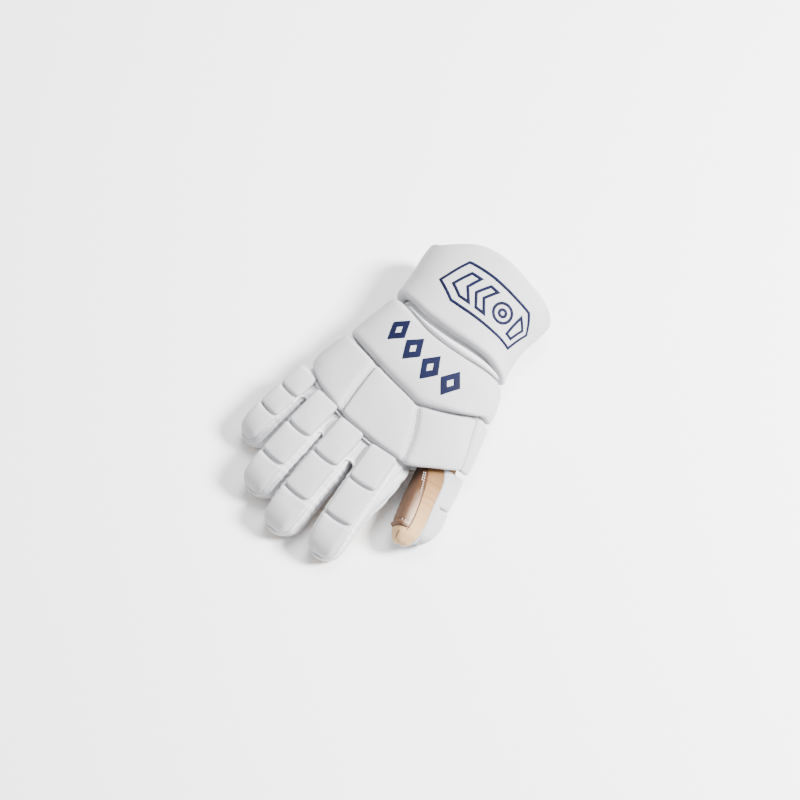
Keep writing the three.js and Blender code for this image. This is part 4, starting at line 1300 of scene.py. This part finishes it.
def add_linings():
    def hand_ends(angle):
        back = np.where(np.sin(np.radians(angle)) >= 0, roll_low(np.minimum(angle, 180)) + 14, 38.0)
        return np.interp(angle, [0, 90, 180, 270, 360], [-34, -50, -42, -46, -34]), back

    lining_tube("hand_liner_sleeve", hand_ends, BACK_PAD + 0.6, "lining", across=("hand", "wrist_roll"),
                start=(0, 6, 28), end=(0, 26, 28), replaces=["hand_liner"])

    def wrist_ends(angle):
        return 34.0 + 0 * angle, 84.0 + 0 * angle

    lining_tube("wrist_lining_sleeve", wrist_ends, BACK_PAD + 1.6, "lining", low=5.0,
                across=("wrist_roll", "cuff"), start=(0, 58, 28), end=(0, 78, 28))

    def cuff_ends(angle):
        return 82.0 + 0 * angle, 141.0 + 0 * angle

    lining_tube("cuff_lining_sleeve", cuff_ends, BACK_PAD + 1.2, "lining", low=4.0, body="cuff",
                replaces=["cuff_lining"])


# ---------------------------------------------------------------- knuckle gusset and webs

def ring_point(digit, turn, reach=1.5, grow=0.3):
    x, z = digit_section(digit, reach, turn, grow)
    return along_digit(digit, x, reach, z)


def add_knuckle_gusset():
    """The fabric between the back panels and palm behind, and the four fingers in front."""
    pinky, ring, middle, index = FINGERS
    front = [ring_point(pinky, 180), ring_point(pinky, 130), ring_point(pinky, 80), ring_point(ring, 90),
             ring_point(middle, 90), ring_point(index, 100), ring_point(index, 50), ring_point(index, 0),
             ring_point(index, -50), ring_point(index, -100), ring_point(middle, -90), ring_point(ring, -90),
             ring_point(pinky, -90), ring_point(pinky, -140)]
    angles = [0, 22, 44, 68, 92, 114, 138, 168]
    back = [on_back(float(a), float(knuckle_edge(a)) + 9, BACK_PAD + 0.3) for a in angles]
    for x in (68, 48, 4, -32, -58, -67):
        y = float(knuckle_line(x)) + PALM_FRONT + 2
        back.append(np.array([x, y, float(palm_floor(y)) + PALM_THICK * 0.5]))
    sides, rows = 140, 22
    front_ring, back_ring = rounded_path(front, sides, True), rounded_path(back, sides, True)
    back_ring[:, 0] = np.minimum(back_ring[:, 0], 84)
    t = np.linspace(0, 1, rows)[:, None, None]
    points = lerp(back_ring[None], front_ring[None], t)
    centre = points.mean(axis=1, keepdims=True)
    out = points - centre
    out /= np.linalg.norm(out, axis=2, keepdims=True)
    slack = np.sin(math.pi * t)
    ripple = noise_at(points, 0.09, 71.0)[..., None]
    top_side = np.clip(out[..., 2:], 0, 1)
    points = points + out * slack * (ripple * 1.3 - 1.0 - 5.0 * top_side)
    inner = points - out * LINER
    weave = np.stack(np.broadcast_arrays(np.arange(sides)[None] * 3.0, np.linspace(0, 25, rows)[:, None]), -1)
    shape = Shape()
    skin, lining = shape.add(points, weave), shape.add(inner, weave)
    across = np.arange(sides) / sides * len(front)
    marks = np.broadcast_to(np.where((across > 8.4) & (across < 13.2), 1, 0), (rows - 1, sides))
    shape.grid(skin, marks, round_columns=True)
    shape.grid(lining, 2, round_columns=True, flip=True)
    shape.loops([lining[0], skin[0]], 2)
    shape.loops([skin[-1], lining[-1]], 2)
    piece = shape.build("knuckle_gusset", [KNIT, PALM_SUEDE, LINING])
    attach(piece, across=("hand", "knuckle_row"), start=(-9, -44, 32), end=(-5, -66, 34),
           replaces=["knuckle_row_sleeve"])


GUSSET_END = 70
GUSSET_FULL = 12


def add_index_gusset():
    """The loose, folded fabric between the index finger and the thumb."""
    digit = FINGERS[3]
    t, w = np.meshgrid(np.linspace(0, 1, 56), np.linspace(0, 1, 44), indexing="ij")
    reach = lerp(-7, GUSSET_END, t)
    turn = lerp(38, -62, w)
    arch = np.sin(math.pi * w) ** 0.8
    bulge = GUSSET_FULL * (0.55 + 1.9 * t) * (1 - t) ** 1.35 * arch
    close = np.clip(np.minimum(np.minimum(w, 1 - w) * 9, (1 - t) * 8), 0, 1)
    seedling = noise_at(np.stack([reach, w * 40], -1), 0.05, 77.0)
    wave = np.sin(2 * math.pi * (w * 3.0 + t * 0.9 + 0.35 * seedling))
    small = np.sin(2 * math.pi * (w * 6.5 - t * 2.2) + 2 * seedling)
    folds = (1.7 * wave + 0.5 * small) * close * (1 - 0.55 * t)

    def skin(extra):
        x, z = digit_section(digit, reach, turn, 0.2 + extra)
        out = bulge + (folds if extra >= 0 else folds * 0.9)
        return along_digit(digit, x + out, reach, z + 1.5 * arch * (1 - t) ** 2)

    weave = np.stack([w * 45, reach], -1)
    shape = Shape()
    outer, inner = shape.add(skin(0.5), weave), shape.add(skin(-1.0), weave)
    shape.grid(outer)
    shape.grid(inner, 1, flip=True)
    shape.loops([border(outer), border(inner)])
    piece = shape.build("index_thumb_gusset", [KNIT, LINING])
    start, end = joint_zone(digit, 1)
    attach(piece, across=("knuckle_row", "index_middle"), start=start, end=end)


VALLEY_STEPS = 90
WEB_TUCK = 8  # how far a web runs back behind the digits' roots
WEB_DIVE = 5.0
WEB_RISE = 1.2
WEB_COLUMNS = 15
U_PIPING_RISE = 2.4
U_PIPING_STEPS = 70
U_PIPING_RADIUS = 1.3


def valley_edges(left, right, y, lift=0.5):
    """The two edges of the valley between neighbouring fingers' pads, at world y positions."""
    reach = np.linspace(-14, digit_length(left) * 0.8, VALLEY_STEPS)
    edges = []
    for digit, side in ((left, 1), (right, -1)):
        x = side * digit["pad"][0] / 2 * np.ones(VALLEY_STEPS)
        height = digit["half"][1] + SLEEVE_RISE[digit["name"]]
        z = height * (1 - (abs(x[0]) / digit["half"][0]) ** 3) ** (1 / 3) + lift
        line = along_digit(digit, x, reach, z)
        order = np.argsort(line[:, 1])
        found = np.stack([np.interp(y, line[order, 1], line[order, k]) for k in range(3)], -1)
        found[..., 1] = y
        edges.append(found)
    return edges


def add_web(left, right, crotch, seed):
    """The web between two fingers: a soft strip that ends in a piped U, with two rows of stitches."""
    name = f"{left['name']}_{right['name']}_web"
    y_back = max(left["root"][1], right["root"][1]) + WEB_TUCK
    across = np.linspace(0, 1, WEB_COLUMNS)
    front = crotch[1] - 7 * np.abs(2 * across - 1) ** 2.2
    rows = 30
    points = np.zeros((rows, WEB_COLUMNS, 3))
    for j, s in enumerate(across):
        y = np.linspace(y_back, front[j], rows)
        a, b = valley_edges(left, right, y)
        points[:, j] = lerp(a, b, s)
    sag = 4 * across * (1 - across)
    near_front = smooth(np.linspace(0, 1, rows))[:, None]
    dive = WEB_DIVE * (1 - np.clip(np.linspace(0, 1, rows) * 2.2, 0, 1)[:, None]) ** 1.6
    ripple = noise_at(points, 0.15, seed) * 0.4
    points[..., 2] += WEB_RISE - sag[None] * (1.3 - 0.5 * near_front) - dive + ripple
    under = points.copy()
    under[..., 2] -= 3.4
    lip = points[-1].copy()
    lip[:, 1] -= 1.4
    lip[:, 2] -= 1.6
    shape = Shape()
    top, bottom, edge = shape.add(points), shape.add(under), shape.add(lip[None])
    shape.grid(top)
    shape.grid(np.concatenate([top[-1:], edge]))
    shape.grid(np.concatenate([edge, bottom[-1:]]))
    shape.grid(bottom, flip=True)
    side_a = np.stack([top[:, 0], bottom[:, 0]])
    side_b = np.stack([top[:, -1], bottom[:, -1]])
    shape.grid(side_a)
    shape.grid(side_b, flip=True)
    shape.grid(np.stack([top[0], bottom[0]]), flip=True)
    for column, flip in ((0, True), (-1, False)):
        corner = [int(top[-1, column]), int(edge[0, column]), int(bottom[-1, column])]
        shape.faces.append(corner[::-1] if flip else corner)
        shape.marks.append(0)
    piece = shape.build(name, [KNIT])
    attach(piece, "knuckle_row")

    thread = Shape()
    for s in (0.3, 0.7):
        column = int(round(s * (WEB_COLUMNS - 1)))
        stitch_row(thread, points[2:-3, column] + np.array([0, 0, 0.05]), 2.6, width=0.5, height=0.3)
    piece = thread.build(f"{name}_stitches", [DARK_THREAD], outward=False)
    attach(piece, "knuckle_row")

    arm = np.linspace(crotch[1] - 15, crotch[1] - 3, 10)
    a, b = valley_edges(left, right, arm, U_PIPING_RISE)
    middle = (a[-1] + b[-1]) / 2 + np.array([0, 3.2, -0.2])
    path = rounded_path(np.concatenate([a, middle[None], b[::-1]]), U_PIPING_STEPS)
    piping = Shape()
    fade = np.clip(np.minimum(np.arange(U_PIPING_STEPS), np.arange(U_PIPING_STEPS)[::-1]) / 12, 0.3, 1)
    tube_shape(piping, path, U_PIPING_RADIUS * fade)
    piece = piping.build(f"{name}_piping", [WELT])
    attach(piece, "knuckle_row")


# ---------------------------------------------------------------- generic navy marks

class Skin:
    """Lays flat artwork, in millimetres about a middle point, onto a finished pad."""

    def __init__(self, piece, place, middle):
        self.tree = BVHTree.FromObject(piece, bpy.context.evaluated_depsgraph_get())
        self.place = place
        self.t = np.linspace(0, 1, 240)
        self.middle = middle
        across = place(self.t, middle[1] + 0 * self.t, 0 * self.t)
        along = place(middle[0] + 0 * self.t, self.t, 0 * self.t)
        self.arcs = []
        for line in (across, along):
            steps = np.linalg.norm(np.diff(line, axis=0), axis=1)
            self.arcs.append(np.concatenate([[0], np.cumsum(steps)]))

    def lay(self, points, lift):
        points = np.asarray(points, float)
        places = []
        for axis in (0, 1):
            start = np.interp(self.middle[axis], self.t, self.arcs[axis])
            places.append(np.interp(start + points[..., axis], self.arcs[axis], self.t))
        outside = self.place(*places, np.full(places[0].shape, -8.0)).reshape(-1, 3)
        inside = self.place(*places, np.full(places[0].shape, 6.0)).reshape(-1, 3)
        result = []
        for a, b in zip(outside, inside):
            way = Vector(b - a).normalized()
            hit = self.tree.ray_cast(Vector(to_frame(a)), way)[0]
            found = (np.array(hit) - ORIGIN) * 1000 if hit else lerp(a, b, 0.6)
            result.append(found - np.array(way) * lift)
        return np.array(result).reshape(points.shape[:-1] + (3,))


def add_band(shape, skin, outer, inner, rows):
    """A filled band between two closed outlines with the same number of points."""
    outer, inner = np.asarray(outer, float), np.asarray(inner, float)
    t = np.linspace(0, 1, rows)[:, None, None]
    flat = lerp(outer[None], inner[None], t)
    top = shape.add(skin.lay(flat, 0.32), flat)
    bottom = shape.add(skin.lay(flat, -0.5), flat)
    shape.grid(top, round_columns=True)
    shape.grid(bottom, round_columns=True, flip=True)
    shape.loops([top[0], bottom[0]])
    shape.loops([top[-1], bottom[-1]])


def offset_loop(corners, distance):
    """The corners of an outline moved inward by a distance."""
    points = np.array(corners, float)
    area = 0.5 * np.sum(points[:, 0] * np.roll(points[:, 1], -1) - np.roll(points[:, 0], -1) * points[:, 1])
    before, after = points - np.roll(points, 1, 0), np.roll(points, -1, 0) - points
    result = []
    for point, a, b in zip(points, before, after):
        a, b = a / np.linalg.norm(a), b / np.linalg.norm(b)
        na, nb = np.array([-a[1], a[0]]), np.array([-b[1], b[0]])
        way = (na + nb) / max(0.35, 1 + na @ nb)
        result.append(tuple(point + way * distance * math.copysign(1, area)))
    return result


def outline(shape, skin, corners, width=3.0, step=1.6):
    """A line of even width round a closed outline."""
    inner = offset_loop(corners, width)
    outer_points, inner_points = [], []
    for k, corner in enumerate(corners):
        following = (k + 1) % len(corners)
        count = max(1, int(round(math.dist(corner, corners[following]) / step)))
        for part in range(count):
            outer_points.append(tuple(lerp(np.array(corner), np.array(corners[following]), part / count)))
            inner_points.append(tuple(lerp(np.array(inner[k]), np.array(inner[following]), part / count)))
    add_band(shape, skin, outer_points, inner_points, 3)


def ring_corners(centre, radius, count=28):
    return [(centre[0] + radius * math.cos(2 * math.pi * k / count),
             centre[1] + radius * math.sin(2 * math.pi * k / count)) for k in range(count)]


def add_cuff_mark(piece, place):
    """Plain geometry in outline: a slanted frame round two chevrons, a ring and a wedge."""
    skin = Skin(piece, place, (0.56, 0.49))
    shape = Shape()
    outline(shape, skin, [(-57, -8), (-41, 23), (37, 23), (57, 7), (46, -23), (-34, -23)])
    outline(shape, skin, [(-43, -6), (-32, 14), (-18, 14), (-25, -1), (-14, -15), (-29, -15)])
    outline(shape, skin, [(-18, -1), (-9, 14), (3, 14), (-5, -1), (5, -15), (-9, -15)])
    outline(shape, skin, ring_corners((17, 0), 11.5))
    outline(shape, skin, ring_corners((17, 0), 5.2, 18))
    outline(shape, skin, [(32, -14), (33, 14), (48, 5), (42, -14)])
    mark = shape.build("cuff_mark", [NAVY])
    attach(mark, "cuff")


LOZENGE = [(-11.2, 1.5), (1.5, 15.5), (11.2, -1.5), (-1.5, -15.5)]
LOZENGE_HOLE = 0.34  # size of the hole as part of the lozenge


def add_roll_mark(piece, place):
    """Four plain slanted lozenges with a hole in each."""
    skin = Skin(piece, place, (0.5, 0.54))
    shape = Shape()
    for number in range(4):
        middle = np.array([-37 + 25.4 * number, 4.5 - 3.0 * number])
        outer = []
        for a, b in zip(LOZENGE, LOZENGE[1:] + LOZENGE[:1]):
            outer += [lerp(np.array(a), np.array(b), part / 10) for part in range(10)]
        outer = np.array(outer)
        add_band(shape, skin, middle + outer, middle + outer * LOZENGE_HOLE, 9)
    mark = shape.build("roll_mark", [NAVY])
    attach(mark, "wrist_roll")


# ---------------------------------------------------------------- stage, lights and camera

def add_stage():
    shape = Shape()
    side = np.linspace(-3000, 3000, 5)
    x, y = np.meshgrid(side, side, indexing="ij")
    points = np.stack([x, y, 0 * x - ORIGIN[2] * 1000 - 0.3], -1)
    ids = shape.add(points)
    shape.grid(ids)
    nodes = Nodes("pale_floor")
    cloud = nodes.noise(nodes.place("Object"), 3.0)
    pale = nodes.ramp(cloud, [(0, srgb(246, 246, 246)), (1, srgb(249, 249, 249))])
    nodes.set(Base_Color=pale, Roughness=0.9)
    floor = shape.build("floor", [nodes.material], outward=False)
    for polygon in floor.data.polygons:
        if polygon.normal.z < 0:
            polygon.flip()
    floor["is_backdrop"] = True


def area_light(name, place, target, size, power, colour=(1, 1, 1)):
    data = bpy.data.lights.new(name, "AREA")
    data.shape = "DISK"
    data.size = size
    data.energy = power
    data.color = colour
    light = bpy.data.objects.new(name, data)
    light.location = place
    light.rotation_euler = (Vector(target) - Vector(place)).to_track_quat("-Z", "Y").to_euler()
    bpy.context.scene.collection.objects.link(light)


def add_lights():
    area_light("key", (1.35, 1.0, 1.75), (0, 0, 0.03), 0.7, 300)
    area_light("fill", (-1.3, -0.6, 1.5), (0, 0, 0.03), 1.6, 10)
    area_light("top", (-0.3, 0.9, 2.2), (0, 0, 0.03), 1.2, 70)
    world = bpy.data.worlds.new("studio")
    world.use_nodes = True
    background = world.node_tree.nodes["Background"]
    background.inputs["Color"].default_value = (0.96, 0.97, 0.98, 1)
    background.inputs["Strength"].default_value = 0.6
    bpy.context.scene.world = world


CAMERA_AZIMUTH = 40
CAMERA_ELEVATION = 65
CAMERA_DISTANCE = 2.6
CAMERA_WIDTH = 0.8  # metres across the view at the glove
CAMERA_SENSOR = 36


def add_camera():
    data = bpy.data.cameras.new("camera")
    data.sensor_width = CAMERA_SENSOR
    data.lens = CAMERA_SENSOR * CAMERA_DISTANCE / CAMERA_WIDTH
    data.clip_end = 20
    azimuth, elevation = math.radians(CAMERA_AZIMUTH), math.radians(CAMERA_ELEVATION)
    back = Vector((
        math.sin(azimuth) * math.cos(elevation),
        -math.cos(azimuth) * math.cos(elevation),
        math.sin(elevation),
    ))
    right = Vector((math.cos(azimuth), math.sin(azimuth), 0))
    aim = Vector(to_frame((0, 0, 0))) + right * 0.01
    camera = bpy.data.objects.new("camera", data)
    camera.location = aim + back * CAMERA_DISTANCE
    camera.rotation_euler = back.to_track_quat("Z", "Y").to_euler()
    bpy.context.scene.collection.objects.link(camera)
    bpy.context.scene.camera = camera


# ---------------------------------------------------------------- assembly

add_camera()
add_stage()
add_lights()
back_pieces = add_back_panels()
back_pieces["wrist_roll"] = add_roll()
back_pieces["cuff"] = add_cuff()
add_flex_strip()
add_roll_mark(*back_pieces["wrist_roll"][:2])
add_cuff_mark(*back_pieces["cuff"][:2])
for number, finger in enumerate(FINGERS):
    add_finger(finger, 100.0 + 10 * number)
add_thumb()
add_palm()
add_linings()
add_knuckle_gusset()
add_index_gusset()
for number, crotch in enumerate(CROTCHES):
    add_web(FINGERS[number], FINGERS[number + 1], crotch, 80.0 + number)

bpy.context.view_layer.update()
sizes = {"cad": cad_box, "visual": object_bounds()}
{key: [list(map(float, corner)) for corner in value] for key, value in sizes.items()}
